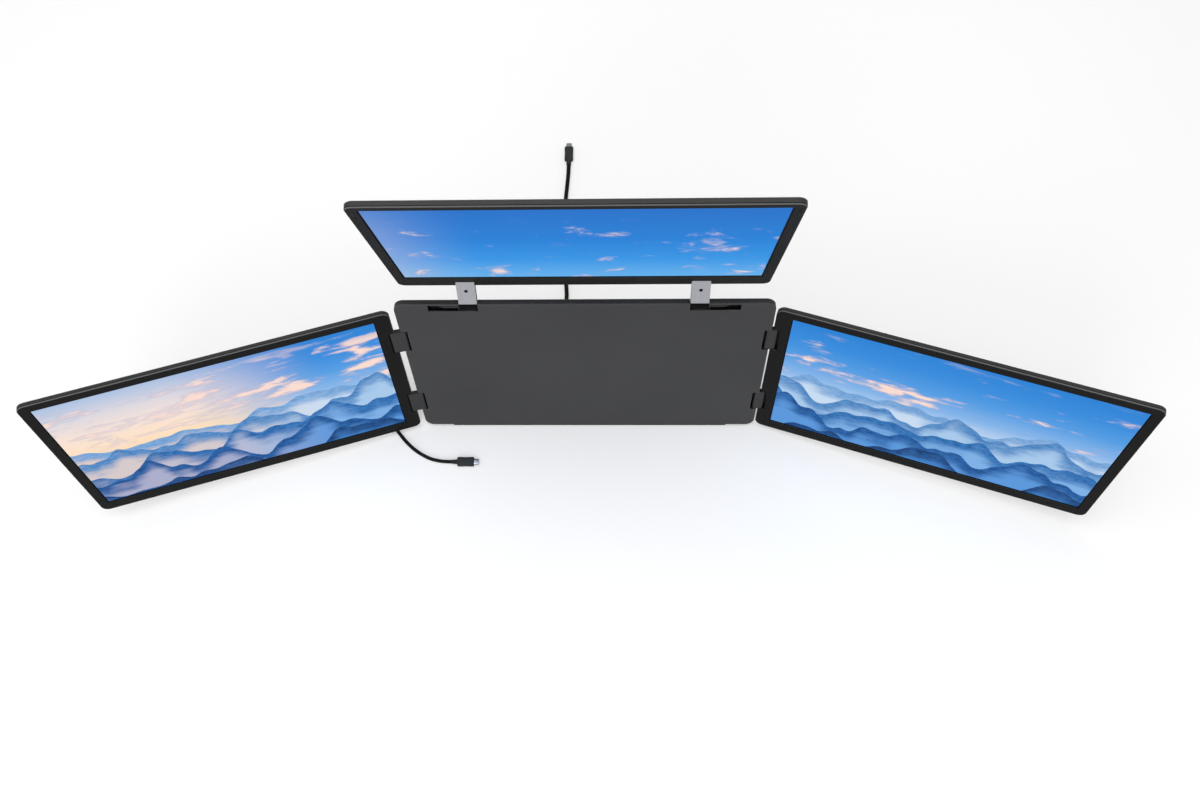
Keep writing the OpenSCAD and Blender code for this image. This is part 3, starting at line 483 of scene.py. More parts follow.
@dataclass(frozen=True)
class BrushedAluminium(Finish):
    """Brushed and clear-anodised aluminium: hair-fine lines along one axis, and a highlight across them."""

    colour: str = "#a6a7ab"
    roughness: float = 0.34
    line: float = 0.25      # brush lines are about 0.1 mm apart; drawn coarser so that they show
    stroke: float = 25.0    # length of a brush line
    edge: float = 0.25
    along: Point = (0.0, 0.39, 0.92)

    def shade(self, tree: Tree, place: Socket) -> Node:
        """Adds stretched lines in colour, roughness and bump to a metal shader.

        Args:
            tree: the material's tree.
            place: the place on the piece, in metres.

        Returns:
            The shader.
        """
        turned = Vector(self.along).to_track_quat("Z", "Y").to_euler()
        brushed = add_node(tree, "ShaderNodeMapping", {
            "Vector": place, "Rotation": turned, "Scale": (self.line * MM, self.line * MM, self.stroke * MM),
        }, vector_type="TEXTURE")
        lines = add_node(tree, "ShaderNodeTexNoise", {"Vector": brushed, "Scale": 1.0, "Detail": 3.0})
        round_edge = add_node(tree, "ShaderNodeBevel", {"Radius": self.edge * MM}, samples=EDGE_SAMPLES)
        bump = add_node(tree, "ShaderNodeBump", {
            "Height": lines, "Normal": round_edge, "Strength": 0.25, "Distance": 0.03 * MM,
        })
        return add_node(tree, "ShaderNodeBsdfPrincipled", {
            "Base Color": mottled(tree, self.colour, lines, (0.88, 1.1)), "Normal": bump, "Metallic": 1.0,
            "Roughness": uneven_gloss(tree, lines, self.roughness, 0.08, 0.1),
        })


@dataclass(frozen=True)
class PowderCoat(Finish):
    """Matt powder coat on steel: soft orange-peel waves and a dull gloss."""

    colour: str = "#3b3b3d"
    roughness: float = 0.5
    peel: float = 1.2       # waves of a powder coat, about 1 mm
    speck: float = 0.3      # grains of the powder that show singly
    edge: float = 0.4
    sheen: float = 0.2

    def shade(self, tree: Tree, place: Socket) -> Node:
        """Adds orange peel, fine speckle, rounded edges and painted shade in slits to a paint shader.

        Args:
            tree: the material's tree.
            place: the place on the piece, in metres.

        Returns:
            The shader.
        """
        waves, specks = (add_node(tree, "ShaderNodeTexNoise", {
            "Vector": place, "Scale": 1 / (size * MM), "Detail": detail,
        }) for size, detail in ((self.peel, 2.0), (self.speck, 1.0)))
        tinted = mottled(tree, self.colour, specks, (0.88, 1.12), span=(0.35, 0.65))
        round_edge = add_node(tree, "ShaderNodeBevel", {"Radius": self.edge * MM}, samples=EDGE_SAMPLES)
        bump = add_node(tree, "ShaderNodeBump", {
            "Height": waves, "Normal": round_edge, "Strength": 0.3, "Distance": 0.06 * MM,
        })
        return add_node(tree, "ShaderNodeBsdfPrincipled", {
            "Base Color": in_shade(tree, tinted), "Normal": bump, "Specular IOR Level": self.sheen,
            "Roughness": uneven_gloss(tree, waves, self.roughness, 0.05, 0.07),
        })


@dataclass(frozen=True)
class TurnedSteel(Finish):
    """Turned or drawn steel: fine rings across the pin that catch the light as thin lines."""

    colour: str = "#b2b4b8"
    roughness: float = 0.28
    ring: float = 0.3       # a band comes every 2 pi of these, 1.9 mm; a lathe's feed marks are much finer
    axis: str = "X"
    metallic: float = 1.0   # lower under a black oxide

    def shade(self, tree: Tree, place: Socket) -> Node:
        """Adds turned rings, a little staining and painted shade in slits to a metal shader.

        Args:
            tree: the material's tree.
            place: the place on the piece, in metres.

        Returns:
            The shader.
        """
        # the wave texture goes through 20 radians in its unit
        rings = add_node(tree, "ShaderNodeTexWave", {
            "Vector": place, "Scale": 1 / (self.ring * MM) / 20, "Distortion": 1.5, "Detail": 2.0,
        }, bands_direction=self.axis)
        # stains about 8 mm across
        stain = add_node(tree, "ShaderNodeTexNoise", {"Vector": place, "Scale": 120.0, "Detail": 3.0})
        bump = add_node(tree, "ShaderNodeBump", {"Height": rings, "Strength": 0.15, "Distance": 0.02 * MM})
        return add_node(tree, "ShaderNodeBsdfPrincipled", {
            "Base Color": in_shade(tree, mottled(tree, self.colour, stain, (0.82, 1.08))),
            "Roughness": uneven_gloss(tree, rings, self.roughness, 0.06, 0.1, span=FULL_SPAN),
            "Normal": bump, "Metallic": self.metallic, "Specular IOR Level": 0.5 * self.metallic,
        })


@dataclass(frozen=True)
class ZincPlate(Finish):
    """Zinc-plated pressed steel: greyish crystals that differ a little in tone and gloss."""

    colour: str = "#75777b"
    roughness: float = 0.42
    spangle: float = 2.5    # size of the zinc crystals

    def shade(self, tree: Tree, place: Socket) -> Node:
        """Adds crystals, a fine haze and painted shade in slits to a metal shader.

        Args:
            tree: the material's tree.
            place: the place on the piece, in metres.

        Returns:
            The shader.
        """
        cells = add_node(tree, "ShaderNodeTexVoronoi", {"Vector": place, "Scale": 1 / (self.spangle * MM)})
        # haze of spots about 1 mm across
        haze = add_node(tree, "ShaderNodeTexNoise", {"Vector": place, "Scale": 900.0, "Detail": 3.0})
        tinted = mottled(tree, self.colour, cells.outputs["Color"], (0.85, 1.12), span=FULL_SPAN)
        bump = add_node(tree, "ShaderNodeBump", {"Height": haze, "Strength": 0.2, "Distance": 0.03 * MM})
        return add_node(tree, "ShaderNodeBsdfPrincipled", {
            "Base Color": in_shade(tree, tinted), "Normal": bump, "Metallic": 0.9,
            "Roughness": uneven_gloss(tree, haze, self.roughness, 0.08, 0.1),
        })


@dataclass(frozen=True)
class Rubber(Finish):
    """Moulded silicone rubber: matt black with a dusty bloom and no clear highlight."""

    colour: str = "#161616"
    bloom: str = "#2a2a2a"
    grain: float = 0.6

    def shade(self, tree: Tree, place: Socket) -> Node:
        """Adds dust in patches and a soft grain to a rubber shader.

        Args:
            tree: the material's tree.
            place: the place on the piece, in metres.

        Returns:
            The shader.
        """
        # patches of dust about 11 mm across
        dust = add_node(tree, "ShaderNodeTexNoise", {"Vector": place, "Scale": 90.0, "Detail": 4.0})
        amount = add_node(tree, "ShaderNodeMapRange", {"Value": dust, "From Min": 0.45, "From Max": 0.7})
        base = add_node(tree, "ShaderNodeMix", {
            "Factor": amount, UNDER: linear(self.colour), OVER: linear(self.bloom),
        }, data_type="RGBA")
        grain = add_node(tree, "ShaderNodeTexNoise", {"Vector": place, "Scale": 1 / (self.grain * MM)})
        bump = add_node(tree, "ShaderNodeBump", {"Height": grain, "Strength": 0.4, "Distance": 0.05 * MM})
        return add_node(tree, "ShaderNodeBsdfPrincipled", {
            "Base Color": base.outputs[MIXED], "Roughness": 0.8, "Normal": bump, "Specular IOR Level": 0.15,
        })


@dataclass(frozen=True)
class CableJacket(Finish):
    """Extruded PVC jacket: satin black with a faint flow grain and a soft long highlight."""

    colour: str = "#0d0d0e"
    roughness: float = 0.34

    def shade(self, tree: Tree, place: Socket) -> Node:
        """Adds a flow grain and slight scuffs to a vinyl shader.

        Args:
            tree: the material's tree.
            place: the place on the piece, in metres.

        Returns:
            The shader.
        """
        # flow marks about 1.4 mm apart, and scuffs about 17 mm long
        flow = add_node(tree, "ShaderNodeTexNoise", {"Vector": place, "Scale": 700.0, "Detail": 3.0})
        scuff = add_node(tree, "ShaderNodeTexNoise", {"Vector": place, "Scale": 60.0, "Detail": 5.0})
        bump = add_node(tree, "ShaderNodeBump", {"Height": flow, "Strength": 0.2, "Distance": 0.04 * MM})
        return add_node(tree, "ShaderNodeBsdfPrincipled", {
            "Base Color": mottled(tree, self.colour, scuff, (0.9, 1.5), span=(0.4, 0.75)),
            "Roughness": uneven_gloss(tree, flow, self.roughness, 0.06, 0.1), "Normal": bump,
            "Specular IOR Level": 0.1,
        })


@dataclass(frozen=True)
class BoardLacquer(Finish):
    """Glass-fibre circuit board under dark green lacquer: copper tracks show through as a paler net."""

    colour: str = "#10301d"
    track: str = "#1d4a2d"
    pitch: float = 2.54     # track spacing of a board

    def shade(self, tree: Tree, place: Socket) -> Node:
        """Adds a net of tracks and painted shade in slits to a lacquer shader.

        Args:
            tree: the material's tree.
            place: the place on the piece, in metres.

        Returns:
            The shader.
        """
        net = add_node(tree, "ShaderNodeTexVoronoi", {
            "Vector": place, "Scale": 1 / (self.pitch * MM),
        }, distance="MANHATTAN", feature="F1")
        line = add_node(tree, "ShaderNodeMapRange", {"Value": net, "From Min": 0.5, "From Max": 0.75})
        base = add_node(tree, "ShaderNodeMix", {
            "Factor": line, UNDER: linear(self.colour), OVER: linear(self.track),
        }, data_type="RGBA")
        bump = add_node(tree, "ShaderNodeBump", {"Height": line, "Strength": 0.3, "Distance": 0.05 * MM})
        return add_node(tree, "ShaderNodeBsdfPrincipled", {
            "Base Color": in_shade(tree, base.outputs[MIXED]), "Roughness": 0.3, "Normal": bump, "IOR": 1.55,
        })


# ---------------------------------------------------------------- lit screens

LAYER_STEP = 7.3            # between the noise of one row of hills and the next
TREE_GAP = 1.6              # between the crowns of trees along a hill's back
WARM_AIR = "#f3cdb0"        # mist in a low sun
THIN_CLOUD, THICK_CLOUD = "#7f9ad0", "#fbdccf"


@dataclass(frozen=True)
class Canvas:
    """The glass that a picture is painted on: the material's tree, and the place on it in millimetres."""

    tree: Tree
    u: Socket               # to the viewer's right
    v: Socket               # up
    warmth: Node            # 1 where a low sun colours the picture

    def stretched(self, width: float, height: float, layer: float) -> Node:
        """The place, counted in patches of a pattern.

        Args:
            width: a patch's width.
            height: a patch's height.
            layer: the pattern's own layer of the noise.

        Returns:
            The node that holds the place.
        """
        flat = add_node(self.tree, "ShaderNodeCombineXYZ", {"X": self.u, "Y": self.v})
        return add_node(self.tree, "ShaderNodeVectorMath", {
            0: flat, 1: (1 / width, 1 / height, 1.0), 2: (0.0, 0.0, layer),
        }, operation="MULTIPLY_ADD")


@dataclass(frozen=True)
class Ridge:
    """One row of wooded hills in a screen's picture, sizes in millimetres on the glass."""

    base: float             # height of its valleys above the screen's lower edge
    rise: float             # how far its tops stand above that
    width: float            # spacing of its tops
    trees: float            # height of the trees on its back
    shade: str              # its woods between the crowns
    light: str              # the crowns
    mist: str               # the air that gathers at its foot
    glow: float             # how far a low sun warms that air

    def depth(self, canvas: Canvas, layer: float) -> Node:
        """How deep a place lies below the tops of the trees on the row's back.

        Args:
            canvas: the glass.
            layer: the row's own layer of the noise.

        Returns:
            The node that holds the depth in millimetres, which is negative in the air.
        """
        tree = canvas.tree
        along = add_node(tree, "ShaderNodeMath", {
            0: canvas.u, 1: 1 / self.width, 2: layer,
        }, operation="MULTIPLY_ADD")
        line = add_node(tree, "ShaderNodeTexNoise", {
            "W": along, "Scale": 1.0, "Detail": 2.0, "Roughness": 0.45,
        }, noise_dimensions="1D")
        tops = add_node(tree, "ShaderNodeMapRange", {
            "Value": line, "From Min": NOISE_SPAN[0], "From Max": NOISE_SPAN[1],
            "To Min": self.base, "To Max": self.base + self.rise,
        }, clamp=False)
        below = add_node(tree, "ShaderNodeMath", {0: tops, 1: canvas.v}, operation="SUBTRACT")
        crowns = add_node(tree, "ShaderNodeTexNoise", {
            "W": canvas.u, "Scale": 1 / TREE_GAP, "Detail": 2.0, "Roughness": 0.7,
        }, noise_dimensions="1D")
        return add_node(tree, "ShaderNodeMath", {
            0: crowns, 1: self.trees, 2: below,
        }, operation="MULTIPLY_ADD")

    def paint(self, canvas: Canvas, behind: Socket, layer: float) -> Socket:
        """Paints the row over what lies behind it.

        Args:
            canvas: the glass.
            behind: the colour so far.
            layer: the row's own layer of the noise.

        Returns:
            The colour with the row.
        """
        tree, depth = canvas.tree, self.depth(canvas, layer)
        # the outline is 0.6 mm soft, as pixels leave it
        inside = add_node(tree, "ShaderNodeMapRange", {"Value": depth, "From Min": -0.25, "From Max": 0.35})
        # the sun picks out patches of about 8 by 4 mm in the woods
        leaves = add_node(tree, "ShaderNodeTexNoise", {
            "Vector": canvas.stretched(8, 4, layer), "Scale": 1.0, "Detail": 5.0, "Roughness": 0.65,
        })
        lit = add_node(tree, "ShaderNodeMapRange", {"Value": leaves, "From Min": 0.36, "From Max": 0.66})
        woods = add_node(tree, "ShaderNodeMix", {
            "Factor": lit, UNDER: linear(self.shade), OVER: linear(self.light),
        }, data_type="RGBA")
        glow = add_node(tree, "ShaderNodeMath", {0: canvas.warmth, 1: self.glow}, operation="MULTIPLY")
        air = add_node(tree, "ShaderNodeMix", {
            "Factor": glow, UNDER: linear(self.mist), OVER: linear(WARM_AIR),
        }, data_type="RGBA")
        # mist fills the foot of the row and drifts up in banks of about 60 by 15 mm
        banks = add_node(tree, "ShaderNodeTexNoise", {
            "Vector": canvas.stretched(60, 15, layer + 3.0), "Scale": 1.0, "Detail": 4.0,
        })
        sunk = add_node(tree, "ShaderNodeMath", {0: banks, 1: self.rise, 2: depth}, operation="MULTIPLY_ADD")
        misty = add_node(tree, "ShaderNodeMapRange", {
            "Value": sunk, "From Min": 0.6 * self.rise, "From Max": 1.35 * self.rise, "To Max": 0.95,
        }, interpolation_type="SMOOTHSTEP")
        aired = add_node(tree, "ShaderNodeMix", {
            "Factor": misty, UNDER: woods.outputs[MIXED], OVER: air.outputs[MIXED],
        }, data_type="RGBA")
        return add_node(tree, "ShaderNodeMix", {
            "Factor": inside, UNDER: behind, OVER: aired.outputs[MIXED],
        }, data_type="RGBA").outputs[MIXED]


@dataclass(frozen=True)
class LitScreen(Finish):
    """An LCD behind a satin front: it glows with an invented picture of misty hills under soft clouds.

    The picture is made of noise alone, laid out in the screen's own millimetres.
    """

    corner: Point = (0.0, 0.0, 0.0)         # lower left corner of the lit area
    turn: Point = (0.0, 0.0, 0.0)           # Euler angles of the screen's axes
    size: Pair = SCREEN
    seed: float = 0.0
    horizon: float = 100.0                  # v at which the sky's colours start
    sky_colours: tuple[tuple[float, str], ...] = ()
    warm_from: float = 300.0                # u at which the sky is plain blue
    warm_to: float = 0.0                    # u at which it is fully warm
    cloud_at: Pair = (118.0, 215.0)         # lowest and highest clouds
    cloud_fade: Pair = (12.0, 20.0)         # half the height over which they fade out at these limits
    cloud_size: Pair = (58.0, 15.0)         # width and height of a puff
    cloud_cover: float = 0.5                # the lower, the more clouds
    cloud_gather: float = 0.45              # the higher, the more they stand in groups
    border: float = 1.6                     # dark edge of the LCD inside the bezel
    ridges: tuple[Ridge, ...] = ()

    def shade(self, tree: Tree, place: Socket) -> Node:
        """Paints the picture from back to front and lets it glow.

        Args:
            tree: the material's tree.
            place: the place on the piece, in metres.

        Returns:
            The shader.
        """
        glass = add_node(tree, "ShaderNodeMapping", {
            "Vector": place, "Location": [c * MM for c in self.corner], "Rotation": self.turn,
            "Scale": (MM, MM, MM),
        }, vector_type="TEXTURE")
        axes = add_node(tree, "ShaderNodeSeparateXYZ", {0: glass})
        u, v = axes.outputs["X"], axes.outputs["Z"]
        warmth = add_node(tree, "ShaderNodeMapRange", {
            "Value": u, "From Min": self.warm_from, "From Max": self.warm_to,
        }, interpolation_type="SMOOTHSTEP")
        canvas = Canvas(tree, u, v, warmth)
        picture = self.clouds(canvas, self.sky(canvas))
        for number, ridge in enumerate(self.ridges):
            picture = ridge.paint(canvas, picture, self.seed + LAYER_STEP * number)
        glow = add_node(tree, "ShaderNodeVectorMath", {
            0: picture, "Scale": self.mask(canvas),
        }, operation="SCALE")
        return add_node(tree, "ShaderNodeBsdfPrincipled", {
            "Base Color": (0.004, 0.004, 0.005, 1.0), "Roughness": 0.32, "Specular IOR Level": 0.03,
            "Emission Color": glow, "Emission Strength": 1.0,
        })

    def sky(self, canvas: Canvas) -> Socket:
        """Paints the clear sky, blue or warm by the place across.

        Args:
            canvas: the glass.

        Returns:
            The colour.
        """
        tree = canvas.tree
        share = add_node(tree, "ShaderNodeMapRange", {
            "Value": canvas.v, "From Min": self.horizon, "From Max": self.size[1],
        })
        return add_node(tree, "ShaderNodeMix", {
            "Factor": canvas.warmth, UNDER: self.gradient(tree, share, self.sky_colours),
            OVER: self.gradient(tree, share, WARM_SKY),
        }, data_type="RGBA").outputs[MIXED]

    @staticmethod
    def gradient(tree: Tree, share: Node, stops: Sequence[tuple[float, str]]) -> Socket:
        """A row of colours that run into one another.

        Args:
            tree: the material's tree.
            share: the place along the row, 0 to 1.
            stops: the place and the hex value of each colour.

        Returns:
            The colour.
        """
        node = add_node(tree, "ShaderNodeValToRGB", {"Fac": share})
        elements = node.color_ramp.elements
        while len(elements) < len(stops):
            elements.new(0.5)
        for element, (position, colour) in zip(elements, stops):
            element.position, element.color = position, linear(colour)
        return node.outputs["Color"]

    def clouds(self, canvas: Canvas, sky: Socket) -> Socket:
        """Paints flat puffs of cloud, bluish below and rosy where they are thick.

        Args:
            canvas: the glass.
            sky: the colour so far.

        Returns:
            The colour with the clouds.
        """
        tree = canvas.tree
        puffs = add_node(tree, "ShaderNodeTexNoise", {
            "Vector": canvas.stretched(*self.cloud_size, self.seed + 4.0), "Scale": 1.0, "Detail": 8.0,
            "Roughness": 0.6, "Distortion": 0.3,
        })
        # they stand in groups of about 120 by 60 mm with clear sky between
        groups = add_node(tree, "ShaderNodeTexNoise", {
            "Vector": canvas.stretched(120, 60, self.seed + 2.0), "Scale": 1.0, "Detail": 1.0,
        })
        sparse = add_node(tree, "ShaderNodeMath", {
            0: groups, 1: self.cloud_gather, 2: -self.cloud_gather / 2,
        }, operation="MULTIPLY_ADD")
        grouped = add_node(tree, "ShaderNodeMath", {0: puffs, 1: sparse}, operation="ADD")
        thick = add_node(tree, "ShaderNodeMapRange", {
            "Value": grouped, "From Min": self.cloud_cover, "From Max": self.cloud_cover + 0.2,
        }, interpolation_type="SMOOTHSTEP")
        (low, high), (low_fade, high_fade) = self.cloud_at, self.cloud_fade
        rising = add_node(tree, "ShaderNodeMapRange", {
            "Value": canvas.v, "From Min": low - low_fade, "From Max": low + low_fade,
        }, interpolation_type="SMOOTHSTEP")
        fading = add_node(tree, "ShaderNodeMapRange", {
            "Value": canvas.v, "From Min": high + high_fade, "From Max": high - high_fade,
        }, interpolation_type="SMOOTHSTEP")
        band = add_node(tree, "ShaderNodeMath", {0: rising, 1: fading}, operation="MULTIPLY")
        cover = add_node(tree, "ShaderNodeMath", {0: thick, 1: band}, operation="MULTIPLY")
        tone = add_node(tree, "ShaderNodeMix", {
            "Factor": thick, UNDER: linear(THIN_CLOUD), OVER: linear(THICK_CLOUD),
        }, data_type="RGBA")
        return add_node(tree, "ShaderNodeMix", {
            "Factor": cover, UNDER: sky, OVER: tone.outputs[MIXED],
        }, data_type="RGBA").outputs[MIXED]

    def mask(self, canvas: Canvas) -> Node:
        """1 inside the lit pixels and 0 in the LCD's dark edge.

        Args:
            canvas: the glass.

        Returns:
            The node that holds the mask.
        """
        tree, lit = canvas.tree, []
        for place, full in zip((canvas.u, canvas.v), self.size):
            from_middle = add_node(tree, "ShaderNodeMath", {0: place, 1: full / 2}, operation="SUBTRACT")
            away = add_node(tree, "ShaderNodeMath", {0: from_middle}, operation="ABSOLUTE")
            reach = full / 2 - self.border
            lit.append(add_node(tree, "ShaderNodeMath", {0: away, 1: reach}, operation="LESS_THAN"))
        return add_node(tree, "ShaderNodeMath", dict(enumerate(lit)), operation="MULTIPLY")


COOL_SKY = ((0.0, "#b4cfee"), (0.2, "#84b4e8"), (0.45, "#539ce2"), (0.7, "#368cdc"), (1.0, "#2680d4"))
WARM_SKY = ((0.0, "#ffdcae"), (0.2, "#fde1c4"), (0.45, "#f6e2d6"), (0.7, "#ded8de"), (1.0, "#a8c0e2"))
HIGH_SKY = ((0.0, "#62b0ec"), (0.3, "#2c92e2"), (0.6, "#087cd4"), (1.0, "#006bc6"))

# from the farthest row to the nearest
HILLS = (
    Ridge(96, 38, 110, 0.8, "#6698cf", "#84b0de", "#cbdef3", 0.8),
    Ridge(76, 42, 84, 1.4, "#3f77b6", "#6399d0", "#aacbec", 0.6),
    Ridge(48, 46, 108, 2.0, "#1b5a9c", "#3a7fc4", "#7fb2e8", 0.5),
    Ridge(20, 42, 78, 2.8, "#0f4683", "#2468b0", "#5a98dc", 0.4),
    Ridge(-10, 38, 98, 3.8, "#0a3263", "#1c579a", "#3f80c8", 0.2),
)


# ---------------------------------------------------------------- the part's own finishes

# the lighter edge colours below are wear and painted highlight along the edges
PANEL_FACE = AnodisedSheet(
    "charcoal_anodised_aluminium", colour="#414142", worn="#909091", edge=0.7, sheen=0.15
)
PANEL_SHELL = MouldedPlastic("moulded_abs_centre_shell", colour="#333334", rubbed="#8a8a8b", roughness=0.52)
SHELL_PLASTIC = MouldedPlastic("moulded_abs_shell", colour="#333334", rubbed="#575758", roughness=0.52)
BEZEL_PLASTIC = RimmedPlastic("moulded_abs_bezel", colour="#1a1a1a", rubbed="#3c3c3c", sheen=0.04)
KEY_PLASTIC = MouldedPlastic(
    "moulded_abs_key", colour="#1a1a1a", rubbed="#303030", roughness=0.42, sheen=0.05
)
PLUG_PLASTIC = MouldedPlastic("overmoulded_plug_vinyl", colour="#2b2e2f", rubbed="#3f4243", roughness=0.45)
HINGE_COAT = PowderCoat("powder_coated_hinge_steel", colour="#303031")
# near-black, so that the cores in the notches under the arm plates look as dark as shade: partly painted
# shade
ARM_SHADE_COAT = PowderCoat("powder_coated_arm_steel", colour="#0b0b0c", sheen=0.04)
ARM_ALUMINIUM = BrushedAluminium("brushed_aluminium_arm_plate")
STAND_ALUMINIUM = AnodisedSheet("grey_anodised_stand", colour="#5a5b5f", worn="#8b8c90", roughness=0.42)
PIN_STEEL = TurnedSteel("turned_pin_steel", axis="Z")
SHAFT_STEEL = TurnedSteel("turned_shaft_steel")
SCREW_STEEL = TurnedSteel("blackened_screw_steel", colour="#121214", roughness=0.4, axis="Z", metallic=0.3)
SOCKET_STEEL = TurnedSteel("drawn_socket_steel", colour="#a8abb0", roughness=0.3)
BRACKET_ZINC = ZincPlate("zinc_plated_bracket_steel")
RUBBER = Rubber("moulded_silicone_rubber")
STRAP = Rubber("woven_nylon_strap", colour="#1a1b1d", bloom="#2f3033", grain=0.9)
JACKET = CableJacket("extruded_pvc_jacket")
LACQUER = BoardLacquer("green_solder_lacquer")


# ---------------------------------------------------------------- frames


@dataclass(frozen=True)
class SideReach:
    """How a side display hangs at rest."""

    edge: float             # from the panel's edge, and from the display's, to the hinge axis in it
    depth: float            # from their front faces to these axes
    reach: float            # between the two axes of a link
    link: float             # degrees by which the link turns to the front
    wing: float             # degrees by which the display does


@dataclass(frozen=True)
class Frames:
    """Where the leaning panel, the displays and the arms stand, as the part's source has them."""

    panel_w: float = 456.0
    panel_h: float = 274.0
    panel_t: float = 9.0
    lean: float = 14.0              # degrees by which the panel leans back
    foot_height: float = 6.0
    display_t: float = 7.5
    bezel_t: float = 1.2
    side_lift: float = 2.0          # of the side displays' lower edges over the panel's
    side_margin: float = 19.0       # from a side display's inner edge to its lit area
    side_chin: float = 16.5         # from its lower edge to its lit area
    left: SideReach = SideReach(edge=4.0, depth=3.0, reach=15.7, link=12.0, wing=18.0)
    right: SideReach = SideReach(edge=3.2, depth=3.8, reach=9.2, link=0.0, wing=19.0)
    arm_lean: float = 9.0           # degrees by which the arms lean back from the panel
    arm_l: float = 40.0             # between an arm's two shafts
    shaft_drop: float = 6.5         # from the panel's upper edge to the lower shafts
    shaft_depth: float = 4.3        # from the panel's front to them
    top_tilt: float = 32.0          # degrees by which the top display tilts to the front
    top_drop: float = 8.0           # of its lower edge under the upper shafts
    top_chin: float = 30.0          # from its lower edge to its lit area

    def panel(self) -> Matrix:
        """From the panel's own axes, x right, y back and z up, to the world."""
        lean = Matrix.Rotation(math.radians(-self.lean), 4, "X")
        return Matrix.Translation((0, -self.panel_t / 2, self.foot_height)) @ lean

    def arm(self) -> Matrix:
        """From the arms' axes at their lower shafts, z towards the upper shafts."""
        back = Matrix.Rotation(math.radians(-self.arm_lean), 4, "X")
        return self.panel() @ Matrix.Translation((0, self.shaft_depth, self.panel_h - self.shaft_drop)) @ back

    def top(self) -> Matrix:
        """From the lower edge of the top display, at its front face.

        Returns:
            The frame.
        """
        forward = Matrix.Rotation(math.radians(self.top_tilt), 4, "X")
        edge = Matrix.Translation((0, -self.display_t / 2, -self.top_drop))
        return self.arm() @ Matrix.Translation((0, 0, self.arm_l)) @ forward @ edge

    def side(self, side: Side) -> Matrix:
        """From the inner lower corner of a side display, x outwards, which mirrors the left one.

        Args:
            side: the display's side.

        Returns:
            The frame.
        """
        hang = self.left if side is Side.LEFT else self.right
        link = math.radians(hang.link)
        mirror = Matrix.Diagonal((side.value, 1, 1, 1))
        out = self.panel_w / 2 - hang.edge + hang.reach * math.cos(link)
        hinge = Matrix.Translation((out, hang.depth - hang.reach * math.sin(link), 0))
        turn = Matrix.Rotation(math.radians(-hang.wing), 4, "Z")
        corner = Matrix.Translation((-hang.edge, -hang.depth, self.side_lift))
        return self.panel() @ mirror @ hinge @ turn @ corner


FRAMES = Frames()


def bezel_finish(word: str, frame: Matrix) -> RimmedPlastic:
    """The bezel's finish for the display that stands in this frame."""
    front = tuple(frame.to_3x3() @ Vector((0, -1, 0)))
    return replace(BEZEL_PLASTIC, name=f"{BEZEL_PLASTIC.name}_{word}", front=front)


def screen_axes(frame: Matrix, side: Side | None = None) -> Point:
    """Euler angles that turn x to the viewer's right, y back and z up along a screen.

    Args:
        frame: the display's frame, mirrored on the left.
        side: the display's side, or None for the top one.

    Returns:
        The angles of the screen's axes.
    """
    flip = -1.0 if side is Side.LEFT else 1.0
    axes = frame.to_3x3() @ Matrix.Diagonal((flip, 1, 1))
    return tuple(axes.to_euler())


def pictures() -> dict[str, LitScreen]:
    """The three screens' pictures, each with its own seed and layout.

    Returns:
        The pictures by the words in their nodes' names.
    """
    left, right, top = FRAMES.side(Side.LEFT), FRAMES.side(Side.RIGHT), FRAMES.top()
    margin, chin, depth = FRAMES.side_margin, FRAMES.side_chin, FRAMES.bezel_t
    return {
        "left": LitScreen(
            "lit_left_screen", corner=tuple(left @ Vector((margin + SCREEN[0], depth, chin))),
            turn=screen_axes(left, Side.LEFT), seed=1.7, ridges=HILLS, sky_colours=COOL_SKY, cloud_cover=0.47,
            warm_from=340.0, warm_to=130.0,
        ),
        "right": LitScreen(
            "lit_right_screen", corner=tuple(right @ Vector((margin, depth, chin))),
            turn=screen_axes(right, Side.RIGHT), seed=58.3, ridges=HILLS, sky_colours=COOL_SKY,
            warm_from=-100.0, warm_to=-400.0,
        ),
        "top": LitScreen(
            "lit_top_screen", corner=tuple(top @ Vector((-SCREEN[0] / 2, depth, FRAMES.top_chin))),
            turn=screen_axes(top), seed=115.2, horizon=0.0, sky_colours=HIGH_SKY, cloud_cover=0.56,
            warm_from=110.0, warm_to=-260.0, cloud_at=(-40.0, 190.0), cloud_size=(46.0, 34.0),
        ),
    }


# ---------------------------------------------------------------- screws


